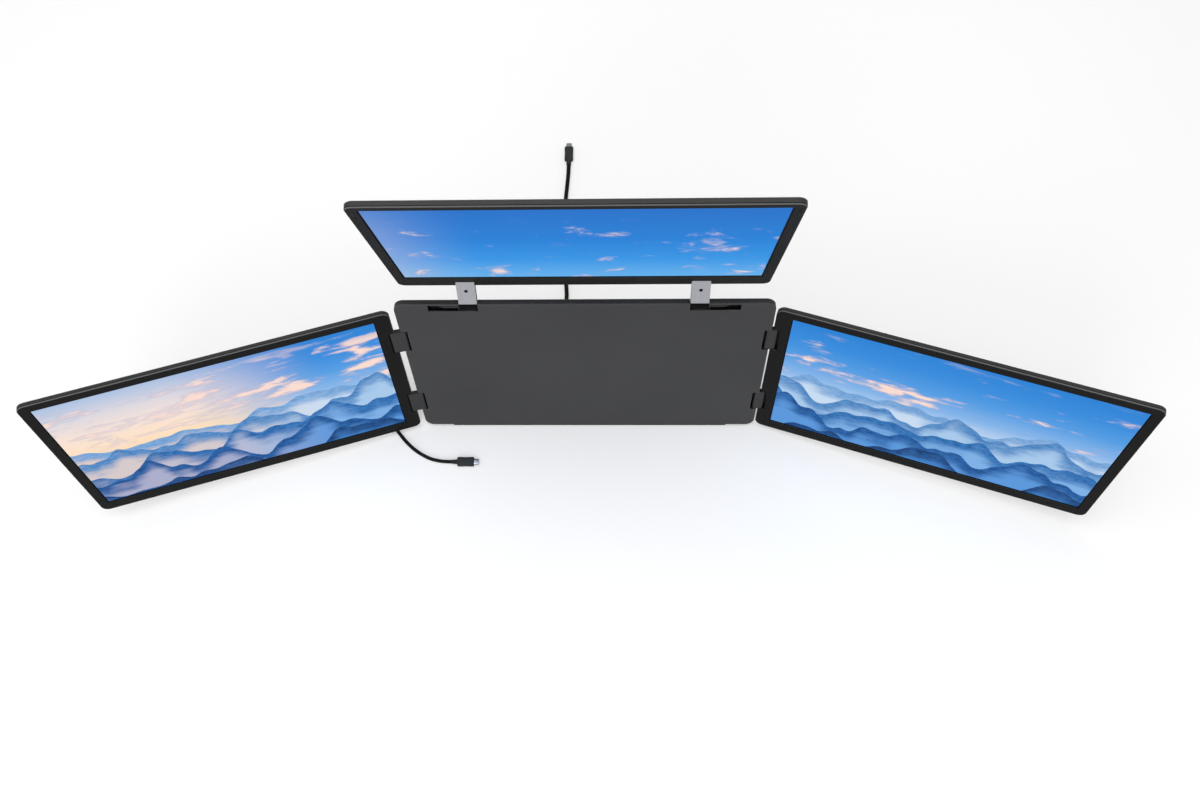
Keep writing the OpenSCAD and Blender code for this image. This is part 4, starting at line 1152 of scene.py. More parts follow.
@dataclass(frozen=True)
class Screws:
    """Countersunk hexagon-socket screws, set by Geometry Nodes: one head at each point of a mesh."""

    head_d: float = 4.6
    proud: float = 0.25             # the heads stand this far out of the face
    socket_share: float = 0.5       # the hexagon's size over its corners as a share of the head
    socket_depth: float = 0.22      # ends above the face, which has no hole
    facets: int = 24
    seed: int = 11

    def ring(self, radius: float, z: float, hexagon: bool = False) -> list[Vector]:
        """Points of a circle, or of a hexagon at the same angles.

        Args:
            radius: the circle's radius, or the hexagon's to its corners.
            z: the height of the ring.
            hexagon: whether the ring is a hexagon.

        Returns:
            The points, counter-clockwise.
        """
        points = []
        for k in range(self.facets):
            a = math.tau * k / self.facets
            inwards = math.cos(math.pi / 6) / math.cos((a % (math.pi / 3)) - math.pi / 6) if hexagon else 1.0
            points.append(Vector((radius * inwards * math.cos(a), radius * inwards * math.sin(a), z)))
        return points

    def head(self) -> Piece:
        """One head of unit diameter, facing +z, with its socket.

        Returns:
            The head as an object.
        """
        mesh = bmesh.new()
        socket = self.socket_share / 2
        outside = ((0.46, -0.12), (0.5, -0.06), (0.5, -0.02), (0.48, 0.0))
        inside = ((socket * 1.08, 0.0), (socket, -0.02), (socket, -self.socket_depth / self.head_d))
        rings = [self.ring(*place) for place in outside]
        loft(mesh, rings + [self.ring(*place, hexagon=True) for place in inside])
        for face in mesh.faces:
            face.smooth = False
        return add_object("screw_head_shape", finished_mesh("screw_head_shape", mesh, []))

    def tree(self) -> bpy.types.GeometryNodeTree:
        """The node tree that puts a head at each point, each turned at random about its own axis.

        Returns:
            The tree, made at the first call.
        """
        made = bpy.data.node_groups.get("screw_pattern")
        if made:
            return made
        tree = bpy.data.node_groups.new("screw_pattern", "GeometryNodeTree")
        for name, kind in (
            ("Points", "NodeSocketGeometry"), ("Head", "NodeSocketObject"), ("Facing", "NodeSocketRotation"),
            ("Diameter", "NodeSocketFloat"), ("Seed", "NodeSocketInt"), ("Finish", "NodeSocketMaterial"),
        ):
            tree.interface.new_socket(name, in_out="INPUT", socket_type=kind)
        tree.interface.new_socket("Screws", in_out="OUTPUT", socket_type="NodeSocketGeometry")
        given = add_node(tree, "NodeGroupInput").outputs
        spin = add_node(tree, "FunctionNodeRandomValue", {"Seed": given["Seed"]}, data_type="FLOAT")
        angle = add_node(tree, "ShaderNodeMath", {0: spin.outputs[1], 1: math.tau}, operation="MULTIPLY")
        own = add_node(tree, "FunctionNodeAxisAngleToRotation", {"Axis": (0.0, 0.0, 1.0), "Angle": angle})
        turned = add_node(tree, "FunctionNodeRotateRotation", {
            "Rotation": given["Facing"], "Rotate By": own,
        }, rotation_space="LOCAL")
        head = add_node(tree, "GeometryNodeObjectInfo", {"Object": given["Head"], "As Instance": True})
        placed = add_node(tree, "GeometryNodeInstanceOnPoints", {
            "Points": given["Points"], "Instance": head.outputs["Geometry"], "Rotation": turned,
            "Scale": given["Diameter"],
        })
        real = add_node(tree, "GeometryNodeRealizeInstances", {"Geometry": placed})
        dressed = add_node(tree, "GeometryNodeSetMaterial", {"Geometry": real, "Material": given["Finish"]})
        add_node(tree, "NodeGroupOutput", {0: dressed})
        return tree

    def place(self, name: str, body: str, frame: Matrix, facing: Point, points: Sequence[Point]) -> Piece:
        """Sets screws into a face and lets them ride on a body.

        Args:
            name: the piece's name.
            body: the CAD body that carries them.
            frame: the frame in which the points are given.
            facing: where the heads face, in that frame.
            points: places of the heads on the face, in millimetres.

        Returns:
            The finished piece.
        """
        outwards = Vector(facing)
        seats = bpy.data.meshes.new(name)
        seats.from_pydata([frame @ (Vector(p) + outwards * self.proud) * MM for p in points], [], [])
        holder, head = add_object(name + "_points", seats), self.head()
        modifier = holder.modifiers.new("screws", "NODES")
        modifier.node_group = self.tree()
        turn = (frame.to_3x3() @ outwards).normalized().to_track_quat("Z", "Y").to_euler()
        values = {
            "Head": head, "Facing": turn, "Diameter": self.head_d * MM, "Seed": self.seed,
            "Finish": SCREW_STEEL.material(),
        }
        for item in modifier.node_group.interface.items_tree:
            if item.in_out == "INPUT" and item.name in values:
                modifier[item.identifier] = values[item.name]
        result = bpy.data.meshes.new_from_object(holder.evaluated_get(bpy.context.evaluated_depsgraph_get()))
        for spare in (holder, head):
            bpy.data.objects.remove(spare)
        result.name = name
        piece = add_object(name, result)
        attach(piece, body)
        return piece


# ---------------------------------------------------------------- plugs

ROUND = 2.0                 # the power of a superellipse that is an ellipse
# each ring of a rib: its place along the step, and its width over the rib's own
RIB = ((0.06, -0.1), (0.12, 0.0), (0.6, 0.1), (0.66, -0.9), (0.94, -0.9))
# each ring of the grip: its place along it, its share of the width and of the thickness, and its squareness
GRIP = (
    (0.0, 0.86, 0.9, 4.0), (0.012, 0.93, 0.96, 4.6), (0.035, 0.98, 0.99, 5.0), (0.07, 1.0, 1.0, 5.0),
    (0.22, 1.0, 1.0, 5.0), (0.4, 0.97, 0.965, 5.0), (0.6, 0.97, 0.965, 5.0), (0.8, 1.0, 1.0, 5.0),
    (0.95, 1.0, 1.0, 5.0), (0.985, 0.98, 0.97, 5.0), (1.0, 0.93, 0.9, 5.0),
)


def superellipse(width: float, thick: float, power: float, count: int = 32) -> list[Pair]:
    """Points of a rounded rectangle.

    Args:
        width: full size along x.
        thick: full size along y.
        power: 2 gives an ellipse, and the higher it is the squarer the corners.
        count: number of points.

    Returns:
        The points, counter-clockwise.
    """
    points = []
    for k in range(count):
        a = math.tau * k / count
        c, s = math.cos(a), math.sin(a)
        points.append((math.copysign(abs(c) ** (2 / power), c) * width / 2,
                       math.copysign(abs(s) ** (2 / power), s) * thick / 2))
    return points


@dataclass(frozen=True)
class Plug:
    """A moulded plug along its own z: ribbed strain relief, grip with finger grooves, and a metal tip."""

    name: str
    node: str
    frame: Matrix
    cable_d: float
    relief_l: float = 7.5
    relief_t: float = 6.8       # the most that it is thick, so that it lies on the table with the grip
    relief_grow: float = 0.5    # by which the ribs widen from the cable to the grip
    rib_w: float = 1.1          # width of the first rib over the cable's
    ribs: int = 4
    grip_l: float = 23.0
    grip_w: float = 13.0
    grip_t: float = 6.8
    tip_l: float = 6.6
    tip_w: float = 8.2
    tip_t: float = 2.4
    tip_power: float = 3.4      # squareness of its section
    tip_seat: float = 0.5       # by which it reaches into the grip
    tip_wall: float = 0.3
    tip_edge: float = 0.1       # chamfer round its mouth, half as wide as long
    mouth_l: float = 4.5

    def build(self, body: str) -> Piece:
        """Builds the plug in place of its CAD node.

        Args:
            body: the CAD body it rides on.

        Returns:
            The finished piece.
        """
        mesh = bmesh.new()
        loft(mesh, self.cover_rings())
        loft(mesh, self.tip_rings(), material_index=1)
        bmesh.ops.transform(mesh, matrix=Matrix.Scale(MM, 4) @ self.frame, verts=mesh.verts)
        materials = [PLUG_PLASTIC.material(), SOCKET_STEEL.material()]
        piece = add_object(self.name, finished_mesh(self.name, mesh, materials))
        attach(piece, body)
        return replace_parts(piece, self.node)

    @staticmethod
    def ring(z: float, width: float, thick: float, power: float) -> list[Vector]:
        """One ring of the cover or the tip at a place along the plug."""
        return [Vector((x, y, z)) for x, y in superellipse(width, thick, power)]

    def cover_rings(self) -> list[list[Vector]]:
        """Rings of the relief, which narrows towards the cable between its ribs, and of the grip.

        Returns:
            The rings from the cable to the tip.
        """
        snug = self.cable_d + 0.1
        rings = [self.ring(0.0, snug, snug, ROUND)]
        for k in range(self.ribs):
            full = self.cable_d + self.rib_w + self.relief_grow * k / self.ribs
            for along, extra in RIB:
                z = self.relief_l / self.ribs * (k + along)
                rings.append(self.ring(z, full + extra, min(full + extra, self.relief_t), ROUND))
        for share, w, t, power in GRIP:
            z = self.relief_l + share * self.grip_l
            rings.append(self.ring(z, w * self.grip_w, t * self.grip_t, power))
        return rings

    def tip_rings(self) -> list[list[Vector]]:
        """Rings of the drawn metal tip with its open mouth.

        Returns:
            The rings from inside the grip to the end of the tip, and back down to the mouth's floor.
        """
        start = self.relief_l + self.grip_l
        end = start + self.tip_l
        return [
            self.ring(z, self.tip_w - 2 * inwards, self.tip_t - 2 * inwards, self.tip_power)
            for z, inwards in (
                (start - self.tip_seat, 0.0), (end - 2 * self.tip_edge, 0.0), (end, self.tip_edge),
                (end, self.tip_wall), (end - self.mouth_l, self.tip_wall),
            )
        ]


# ---------------------------------------------------------------- cables


@dataclass(frozen=True)
class Cable:
    """A cable from its strain relief along the table, through a stored coil, to its free plug."""

    name: str
    diameter: float
    start: tuple[Point, ...]
    turns: float
    coil_centre: Pair
    coil_place: Callable[[float], Pair]     # radius and height after so many turns
    end: tuple[Point, ...]
    nodes: tuple[str, ...]
    tie_angles: Pair                        # degrees from +x, counter-clockwise
    tie_w: float = 12.0
    tie_t: float = 0.8
    tie_lift: float = 0.05                  # of the straps over the table
    step: float = 3.0                       # the most between two points of the route
    turn_points: int = 24
    tie_points: int = 48

    def coil_point(self, turn: float) -> Point:
        """A point of the coil, which starts at its south and runs clockwise from above.

        Args:
            turn: turns since the start.

        Returns:
            The point in millimetres.
        """
        radius, z = self.coil_place(turn)
        angle = -math.pi / 2 - math.tau * turn
        x, y = self.coil_centre
        return x + radius * math.cos(angle), y + radius * math.sin(angle), z

    def knots(self) -> list[Vector]:
        """The points that the route runs through.

        Returns:
            The points in order.
        """
        count = round(self.turns * self.turn_points)
        coil = [self.coil_point(self.turns * k / count) for k in range(1, count)]
        return [Vector(p) for p in (*self.start, *coil, *self.end)]

    def route(self) -> list[Vector]:
        """The route as a smooth line with a point every few millimetres, never below the table.

        Returns:
            The line's points.
        """
        knots = self.knots()
        line: list[Vector] = []
        for i in range(len(knots) - 1):
            a, b, c, d = knots[max(i - 1, 0)], knots[i], knots[i + 1], knots[min(i + 2, len(knots) - 1)]
            pieces = max(1, math.ceil((c - b).length / self.step))
            for k in range(pieces):
                line.append(self.between(a, b, c, d, k / pieces))
        line.append(knots[-1])
        lowest = self.diameter / 2
        return [Vector((p.x, p.y, max(p.z, lowest))) for p in line]

    @staticmethod
    def between(a: Vector, b: Vector, c: Vector, d: Vector, share: float) -> Vector:
        """A point between b and c on the centripetal Catmull-Rom curve through four points.

        Args:
            a: the point before b.
            b: the point where the share is 0.
            c: the point where it is 1.
            d: the point after c.
            share: the place between b and c.

        Returns:
            The point.
        """
        def later(p: Vector, q: Vector) -> float:
            """Step of the curve's parameter from p to q."""
            return max((q - p).length ** 0.5, 1e-4)

        t0, t1 = 0.0, later(a, b)
        t2 = t1 + later(b, c)
        t3 = t2 + later(c, d)
        t = t1 + share * (t2 - t1)
        ab = a.lerp(b, (t - t0) / (t1 - t0))
        bc = b.lerp(c, (t - t1) / (t2 - t1))
        cd = c.lerp(d, (t - t2) / (t3 - t2))
        return ab.lerp(bc, (t - t0) / (t2 - t0)).lerp(bc.lerp(cd, (t - t1) / (t3 - t1)), (t - t1) / (t2 - t1))

    def build(self, body: str) -> Piece:
        """Builds the cable as one curve in place of its CAD solids.

        Args:
            body: the CAD body it rides on.

        Returns:
            The curve.
        """
        line = self.route()
        curve = bpy.data.curves.new(self.name, "CURVE")
        curve.dimensions = "3D"
        curve.bevel_depth = self.diameter / 2 * MM
        curve.bevel_resolution = 4
        curve.use_fill_caps = True
        spline = curve.splines.new("POLY")
        spline.points.add(len(line) - 1)
        for point, place in zip(spline.points, line):
            point.co = (*(place * MM), 1.0)
        spline.use_smooth = True
        curve.materials.append(JACKET.material())
        piece = add_object(self.name, curve)
        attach(piece, body)
        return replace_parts(piece, *self.nodes)

    def length(self) -> float:
        """The cable's real length in millimetres."""
        line = self.route()
        return sum((b - a).length for a, b in zip(line, line[1:]))

    def ties(self, body: str) -> list[Piece]:
        """Wraps a strap round all turns of the coil at each tie's angle.

        Args:
            body: the CAD body the straps ride on.

        Returns:
            The straps.
        """
        pieces = []
        for number, degrees in enumerate(self.tie_angles):
            # the coil starts at -90 degrees and passes the tie once a turn, at one whole degree
            turns = [t / 360 for t in range(round(self.turns * 360))
                     if abs((-90 - t - degrees + 180) % 360 - 180) < 0.5]
            places = [self.coil_place(t) for t in turns]
            mesh = bmesh.new()
            rings = [
                self.wrap(places, self.diameter / 2 + outwards * self.tie_t, across * self.tie_w)
                for across, outwards in ((-0.5, 0.0), (-0.5, 1.0), (0.5, 1.0), (0.5, 0.0))
            ]
            loft(mesh, rings + rings[:1])
            for cap in [f for f in mesh.faces if len(f.verts) != 4]:
                mesh.faces.remove(cap)
            turn = Matrix.Rotation(math.radians(degrees), 4, "Z")
            there = Matrix.Translation((*self.coil_centre, 0.0)) @ turn
            bmesh.ops.transform(mesh, matrix=Matrix.Scale(MM, 4) @ there, verts=mesh.verts)
            name = f"{self.name}_tie_{number + 1}"
            piece = add_object(name, finished_mesh(name, mesh, [STRAP.material()]))
            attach(piece, body)
            pieces.append(piece)
        return pieces

    def wrap(self, places: Sequence[Pair], around: float, across: float) -> list[Vector]:
        """A strap's outline round the turns, seen along the cable.

        Args:
            places: radius and height of each turn.
            around: distance from the turns' middles.
            across: place of the outline across the strap.

        Returns:
            The outline's points, in the plane of the coil's radius and never under the table.
        """
        middle = Vector((sum(r for r, _ in places) / len(places), sum(z for _, z in places) / len(places)))
        cloud = [Vector(p) + way * around for p in places for way in self.ways(self.turn_points)]
        hull = [cloud[i] for i in convex_hull_2d(cloud)]
        outline = []
        for way in self.ways(self.tie_points):
            hits = []
            for p, q in zip(hull, hull[1:] + hull[:1]):
                edge = q - p
                cross = way.x * edge.y - way.y * edge.x
                if abs(cross) > 1e-9:
                    far = ((p.x - middle.x) * edge.y - (p.y - middle.y) * edge.x) / cross
                    along = ((p.x - middle.x) * way.y - (p.y - middle.y) * way.x) / cross
                    if far > 0 and -1e-6 <= along <= 1 + 1e-6:
                        hits.append(far)
            spot = middle + way * max(hits)
            outline.append(Vector((spot.x, across, max(spot.y, self.tie_lift))))
        return outline

    @staticmethod
    def ways(count: int) -> list[Vector]:
        """Unit vectors at equal angles all round."""
        angles = [math.tau * k / count for k in range(count)]
        return [Vector((math.cos(a), math.sin(a))) for a in angles]


def eased(value: float, low: float, high: float) -> float:
    """0 at low, 1 at high, and a smooth step between."""
    share = min(max((value - low) / (high - low), 0.0), 1.0)
    return share * share * (3 - 2 * share)


def climbing(radius: float, d: float, share: float) -> Pair:
    """A cable's place as it rolls over the turn outside it, from beside it into the groove on top.

    Args:
        radius: the radius of the turn that it rolls over.
        d: the cable's diameter.
        share: how far it has rolled, 0 to 1.

    Returns:
        Radius and height in millimetres.
    """
    angle = math.radians(180 - 60 * share)
    return radius + d * math.cos(angle), d / 2 + d * math.sin(angle)


def laptop_coil(turn: float) -> Pair:
    """Two turns of the laptop cable: the second lies inside the first, and its end climbs onto both.

    Args:
        turn: turns since the start.

    Returns:
        Radius and height in millimetres.
    """
    d, outer = 5.0, 30.0
    if turn < 1.5:
        return outer - d * eased(turn, 0.72, 1.0), d / 2
    if turn < 1.75:
        return climbing(outer, d, eased(turn, 1.5, 1.75))
    radius = outer - d / 2
    below = outer - d * eased(turn - 1, 0.72, 1.0)
    return radius, d / 2 + math.sqrt(d * d - (radius - below) ** 2)


def power_coil(turn: float) -> Pair:
    """The power cable's turns: three side by side on the table, and more in the grooves on top of them.

    Args:
        turn: turns since the start.

    Returns:
        Radius and height in millimetres.
    """
    d, outer = 6.0, 39.0

    def flat(t: float) -> float:
        """Radius of the turns on the table."""
        return outer - d * eased(t, 0.75, 1.0) - d * eased(t, 1.75, 2.0)

    if turn < 2.5:
        return flat(turn), d / 2
    if turn < 2.75:
        return climbing(outer - d, d, eased(turn, 2.5, 2.75))
    radius = outer - 1.5 * d + d * eased(turn, 3.25, 3.5)
    below = [flat(turn % 1 + k) for k in (0, 1)] + ([outer - 2 * d] if turn % 1 < 0.5 else [])
    nearest = min(abs(radius - b) for b in below)
    return radius, d / 2 + math.sqrt(d * d - min(nearest, d / 2) ** 2)


LAPTOP_CABLE = Cable(
    name="laptop_cable",
    diameter=5.0,
    start=(
        (-30, 18.76, 41.42), (-30, 16.4, 31.7), (-30, 16.2, 21), (-30, 20.7, 11.5), (-30, 28.9, 4.9),
        (-30, 39, 2.5), (-31, 52, 2.5), (-36, 66, 2.5), (-47, 80, 2.5), (-62, 92, 2.5), (-80, 102, 2.5),
        (-100, 109, 2.5), (-120, 113, 2.5), (-142, 115, 2.5), (-168, 117, 2.5), (-195, 117.5, 2.5),
    ),
    turns=2.0,
    coil_centre=(-195, 147.5),
    coil_place=laptop_coil,
    end=(
        (-195, 120, 7), (-212, 120.3, 6.9), (-230, 121, 4.4), (-250, 121.5, 2.5), (-270, 120, 2.5),
        (-288, 114, 2.5), (-302, 102, 2.5), (-310, 86, 2.5), (-312, 68, 2.5), (-309, 50, 2.5),
        (-302, 33, 2.5), (-292, 17, 2.5), (-280, 1, 2.5), (-268, -15, 2.5), (-255, -30, 2.5),
        (-244, -40, 2.5), (-232, -48, 2.5), (-219, -54, 2.5), (-205, -57, 2.5), (-190, -58, 3.4),
    ),
    nodes=("laptop_cable_start", "laptop_cable_coil", "laptop_cable_end"),
    tie_angles=(75.0, 195.0),
)

POWER_CABLE = Cable(
    name="power_cable",
    diameter=6.0,
    start=(
        (30, 18.76, 41.42), (30, 16.4, 31.7), (30, 16.2, 21), (30, 20.7, 11.8), (30, 28.9, 5.2), (30, 39, 3),
        (30, 50, 3), (29, 61, 3), (25, 72, 3), (18, 82, 3), (10, 88, 3), (0, 91, 3),
    ),
    turns=4.25,
    coil_centre=(0, 130),
    coil_place=power_coil,
    end=(
        (-36, 130, 8.2), (-36, 139, 9.2), (-36, 147, 9.2), (-36, 157, 8.2), (-35.5, 168, 5.2), (-35, 180, 3),
        (-34, 192, 3), (-35, 211, 3), (-37, 240, 3), (-37.5, 280, 3), (-37.5, 320, 3), (-37.5, 352, 3),
        (-36, 372, 3), (-34.5, 392, 3), (-34, 408, 3.4),
    ),
    nodes=("power_cable_start", "power_cable_coil", "power_cable_end"),
    tie_angles=(20.0, 100.0),
)


# ---------------------------------------------------------------- sub-assemblies


@dataclass
class SubAssembly:
    """CAD nodes that are dressed as one group, and the pieces that complete them."""

    nodes: dict[str, Piece]

    def finishes(self) -> dict[str, Finish]:
        """The finish of each CAD node of the group, by the node's name."""
        return {}

    def added(self) -> list[Piece]:
        """The pieces that complete the group."""
        return []

    def build(self) -> list[Piece]:
        """Dresses the group's CAD nodes and adds its pieces.

        Returns:
            The added pieces.
        """
        for name, finish in self.finishes().items():
            finish.dress(self.nodes[name])
        return self.added()


@dataclass
class CentrePanel(SubAssembly):
    """The leaning panel with its covers, boards, sockets and side and top hinge halves."""

    body: str = "centre"
    screw_x: float = 206.0
    screw_in: float = 84.0
    screw_rise: float = 14.0

    def finishes(self) -> dict[str, Finish]:
        """The finish of each CAD node of the panel.

        Returns:
            The finishes by the nodes' names.
        """
        return {
            "centre_front_cover": PANEL_FACE, "centre_rear_cover": PANEL_SHELL, "main_board": LACQUER,
            "port_sockets": SOCKET_STEEL, "top_hinge_barrels": HINGE_COAT, "arm_lower_shafts": SHAFT_STEEL,
            "left_panel_bracket": BRACKET_ZINC, "right_panel_bracket": BRACKET_ZINC,
            "left_inner_pins": PIN_STEEL, "right_inner_pins": PIN_STEEL, "foot_strip": RUBBER,
            "kickstand_brackets": BRACKET_ZINC, "kickstand_pins": SHAFT_STEEL,
        }

    def added(self) -> list[Piece]:
        """The rear cover's screws: four above, four below and two halfway up.

        Returns:
            The screws as one piece.
        """
        back, low, high = FRAMES.panel_t, self.screw_rise, FRAMES.panel_h - self.screw_rise
        across = (-self.screw_x, -self.screw_in, self.screw_in, self.screw_x)
        points = [(x, back, z) for x in across for z in (low, high)]
        points += [(x, back, (low + high) / 2) for x in (-self.screw_x, self.screw_x)]
        return [Screws().place("rear_cover_screws", self.body, FRAMES.panel(), (0, 1, 0), points)]


@dataclass
class SideHinge(SubAssembly):
    """The two double-axis links of one side."""

    side: Side

    def finishes(self) -> dict[str, Finish]:
        """The finish of both links, by the node's name."""
        return {f"{self.side.word}_{place}_link": HINGE_COAT for place in ("upper", "lower")}


@dataclass
class Display(SubAssembly):
    """What each display has: a bezel, a lit screen, a rear shell with its board, bumpers and screws."""

    picture: LitScreen
    screw_inset: float = field(default=12.0, kw_only=True)      # from the display's edges to its screws

    def common_finishes(self, word: str, frame: Matrix) -> dict[str, Finish]:
        """The finishes of the CAD nodes that each display has.

        Args:
            word: the display's word in the nodes' names.
            frame: the display's frame.

        Returns:
            The finishes by the nodes' names.
        """
        return {
            f"{word}_bezel": bezel_finish(word, frame), f"{word}_screen": self.picture,
            f"{word}_rear_shell": SHELL_PLASTIC, f"{word}_driver_board": LACQUER, f"{word}_bumpers": RUBBER,
        }

    def back_screws(self, word: str, frame: Matrix, across: Sequence[float], height: float) -> list[Piece]:
        """Sets the screws in the display's back, in a row above and a row below.

        Args:
            word: the display's word in the names of the piece and the body.
            frame: the display's frame.
            across: places of the screws in a row.
            height: the display's height.

        Returns:
            The screws as one piece.
        """
        rows = (self.screw_inset, height - self.screw_inset)
        points = [(x, FRAMES.display_t, z) for x in across for z in rows]
        return [Screws().place(f"{word}_display_screws", f"{word}_display", frame, (0, 1, 0), points)]


@dataclass
class SideDisplay(Display):
    """A display beside the panel, with its half of the side hinge."""

    side: Side
    width: float = 440.8
    height: float = 259.0
    hinge_room: float = 10.0        # by which the screws stand further in beside the hinge

    def finishes(self) -> dict[str, Finish]:
        """The finish of each CAD node of the display.

        Returns:
            The finishes by the nodes' names.
        """
        word = self.side.word
        return self.common_finishes(word, FRAMES.side(self.side)) | {
            f"{word}_display_bracket": BRACKET_ZINC, f"{word}_outer_pins": PIN_STEEL,
        }

    def added(self) -> list[Piece]:
        """The screws in its back."""
        across = (self.screw_inset + self.hinge_room, self.width / 2, self.width - self.screw_inset)
        return self.back_screws(self.side.word, FRAMES.side(self.side), across, self.height)


@dataclass
class TopDisplay(Display):
    """The display above the panel, with its half of the top hinge."""

    width: float = 432.8
    height: float = 269.5

    def finishes(self) -> dict[str, Finish]:
        """The finish of each CAD node of the display.

        Returns:
            The finishes by the nodes' names.
        """
        return self.common_finishes("top", FRAMES.top()) | {
            "top_display_knuckles": BRACKET_ZINC, "arm_upper_shafts": SHAFT_STEEL,
        }

    def added(self) -> list[Piece]:
        """The screws in its back."""
        half = self.width / 2 - self.screw_inset
        return self.back_screws("top", FRAMES.top(), (-half, 0.0, half), self.height)


@dataclass
class TopArms(SubAssembly):
    """The two arms that carry the top display, each with an aluminium plate and one screw."""

    body: str = "top_arms"
    arm_x: float = 137.5
    screw_d: float = 4.4
    screw_up: float = 26.0          # from the lower shafts to the screws
    front: float = -3.5             # the plates' front faces, from the shafts

    def finishes(self) -> dict[str, Finish]:
        """The finishes of the cores and the plates, by the node's name."""
        cores = {f"{side.word}_arm_core": ARM_SHADE_COAT for side in Side}
        return cores | {f"{side.word}_arm_plate": ARM_ALUMINIUM for side in Side}

    def added(self) -> list[Piece]:
        """One screw in each plate."""
        points = [(side.value * self.arm_x, self.front, self.screw_up) for side in Side]
        return [Screws(self.screw_d).place("arm_plate_screws", self.body, FRAMES.arm(), (0, -1, 0), points)]


@dataclass
class Kickstand(SubAssembly):
    """The plate with two legs that props the panel up from behind, in its rubber boots."""

    def finishes(self) -> dict[str, Finish]:
        """The finishes of the frame and the boots, by the node's name."""
        return {"kickstand_frame": STAND_ALUMINIUM, "kickstand_pads": RUBBER}


@dataclass
class MenuKeys(SubAssembly):
    """The small keys in the outer edges of the displays."""

    def finishes(self) -> dict[str, Finish]:
        """The finish of the keys, by the node's name."""
        return {f"{word}_key": KEY_PLASTIC for word in ("left", "right", "top")}


@dataclass
class CableSet(SubAssembly):
    """Both cables with their plugs, the heads that sit in the sockets and the straps round the coils."""

    body: str = "centre"
    port_y: float = 14.0            # the sockets' middles, from the panel's front
    relief_end_z: float = 40.0      # where the cables enter the heads, above the panel's lower edge

    @staticmethod
    def plug_frame(at: Point, along: Point, thick: Point) -> Matrix:
        """A frame at a point, z along the plug and y through its thickness.

        Args:
            at: the place where the cable enters the plug.
            along: where the tip points.
            thick: the way through the plug's thickness.

        Returns:
            The frame.
        """
        z, y = Vector(along).normalized(), Vector(thick).normalized()
        turn = Matrix((y.cross(z), y, z)).transposed().to_4x4()
        return Matrix.Translation(at) @ turn

    def head_plug(self, cable: Cable) -> Piece:
        """Builds the plug that sits in a socket at the panel's back.

        Args:
            cable: its cable.

        Returns:
            The finished piece.
        """
        panel = FRAMES.panel()
        up, back = (panel.to_3x3() @ Vector(way) for way in ((0, 0, 1), (0, 1, 0)))
        at = panel @ Vector((cable.start[0][0], self.port_y, self.relief_end_z))
        return Plug(
            f"{cable.name}_head_plug", f"{cable.name}_head", self.plug_frame(at, up, back), cable.diameter,
            relief_l=10.0, relief_t=8.0, ribs=5, grip_l=19.8, grip_w=12.0, grip_t=6.4, tip_l=6.2,
        ).build(self.body)

    def free_plug(self, cable: Cable, along: Point) -> Piece:
        """Builds the plug that lies on the table at a cable's free end.

        Args:
            cable: its cable.
            along: where its tip points.

        Returns:
            The finished piece.
        """
        return Plug(
            f"{cable.name}_free_plug", cable.name.replace("cable", "plug"),
            self.plug_frame(cable.end[-1], along, (0, 0, 1)), cable.diameter,
        ).build(self.body)

    def added(self) -> list[Piece]:
        """Both cables with all that hangs on them.

        Returns:
            The pieces of both.
        """
        pieces = []
        for cable, along in ((LAPTOP_CABLE, (1.0, 0.0, 0.0)), (POWER_CABLE, (0.0, 1.0, 0.0))):
            tube, length = cable.build(self.body), cable.length()
            ends = [self.head_plug(cable), self.free_plug(cable, along), *cable.ties(self.body)]
            log.info("%s: %.0f mm long", cable.name, length)
            pieces += [tube, *ends]
        return pieces


# ---------------------------------------------------------------- studio


@dataclass(frozen=True)
class StudioFloor(Finish):
    """A pale paper floor that looks white to the camera and still takes the soft shadow."""

    colour: str = "#e6e6e6"
    lift: float = 0.18
    far_lift: float = 0.7           # far off, where the lamps' light has faded
    fade: Pair = (1.0, 4.5)         # metres from the object over which the lift grows

    def shade(self, tree: Tree, place: Socket) -> Node:
        """Adds a faint glow for camera and glossy rays to a matt floor.

        Args:
            tree: the material's tree.
            place: the place on the floor, in metres.

        Returns:
            The shader.
        """
        # clouds in the paper's tone about 330 mm across
        paper = add_node(tree, "ShaderNodeTexNoise", {"Vector": place, "Scale": 3.0})
        tinted = mottled(tree, self.colour, paper, (0.995, 1.005), span=FULL_SPAN)
        matt = add_node(tree, "ShaderNodeBsdfDiffuse", {"Color": tinted})
        rays = add_node(tree, "ShaderNodeLightPath").outputs
        seen = rays["Is Camera Ray"]
        for kind in ("Is Glossy Ray", "Is Transmission Ray"):
            seen = add_node(tree, "ShaderNodeMath", {0: seen, 1: rays[kind]}, operation="ADD")
        away = add_node(tree, "ShaderNodeVectorMath", {0: place}, operation="LENGTH")
        lift = add_node(tree, "ShaderNodeMapRange", {
            "Value": away.outputs["Value"], "From Min": self.fade[0], "From Max": self.fade[1],
            "To Min": self.lift, "To Max": self.far_lift,
        }, interpolation_type="SMOOTHSTEP")
        glow = add_node(tree, "ShaderNodeMath", {0: seen, 1: lift}, operation="MULTIPLY")
        light = add_node(tree, "ShaderNodeEmission", {"Color": WHITE, "Strength": glow})
        return add_node(tree, "ShaderNodeAddShader", {0: matt, 1: light})


@dataclass(frozen=True)
class Softbox:
    """A square lamp with an even light."""

    name: str
    place: Point            # metres
    size: float             # its side in metres
    power: float            # watts

    def build(self, target: Point) -> None:
        """Adds the lamp.

        Args:
            target: what it faces, in metres.
        """
        lamp = bpy.data.lights.new(self.name, "AREA")
        lamp.shape, lamp.size, lamp.energy = "SQUARE", self.size, self.power
        holder = add_object(self.name, lamp)
        holder.location = self.place
        holder.rotation_euler = (Vector(target) - Vector(self.place)).to_track_quat("-Z", "Y").to_euler()


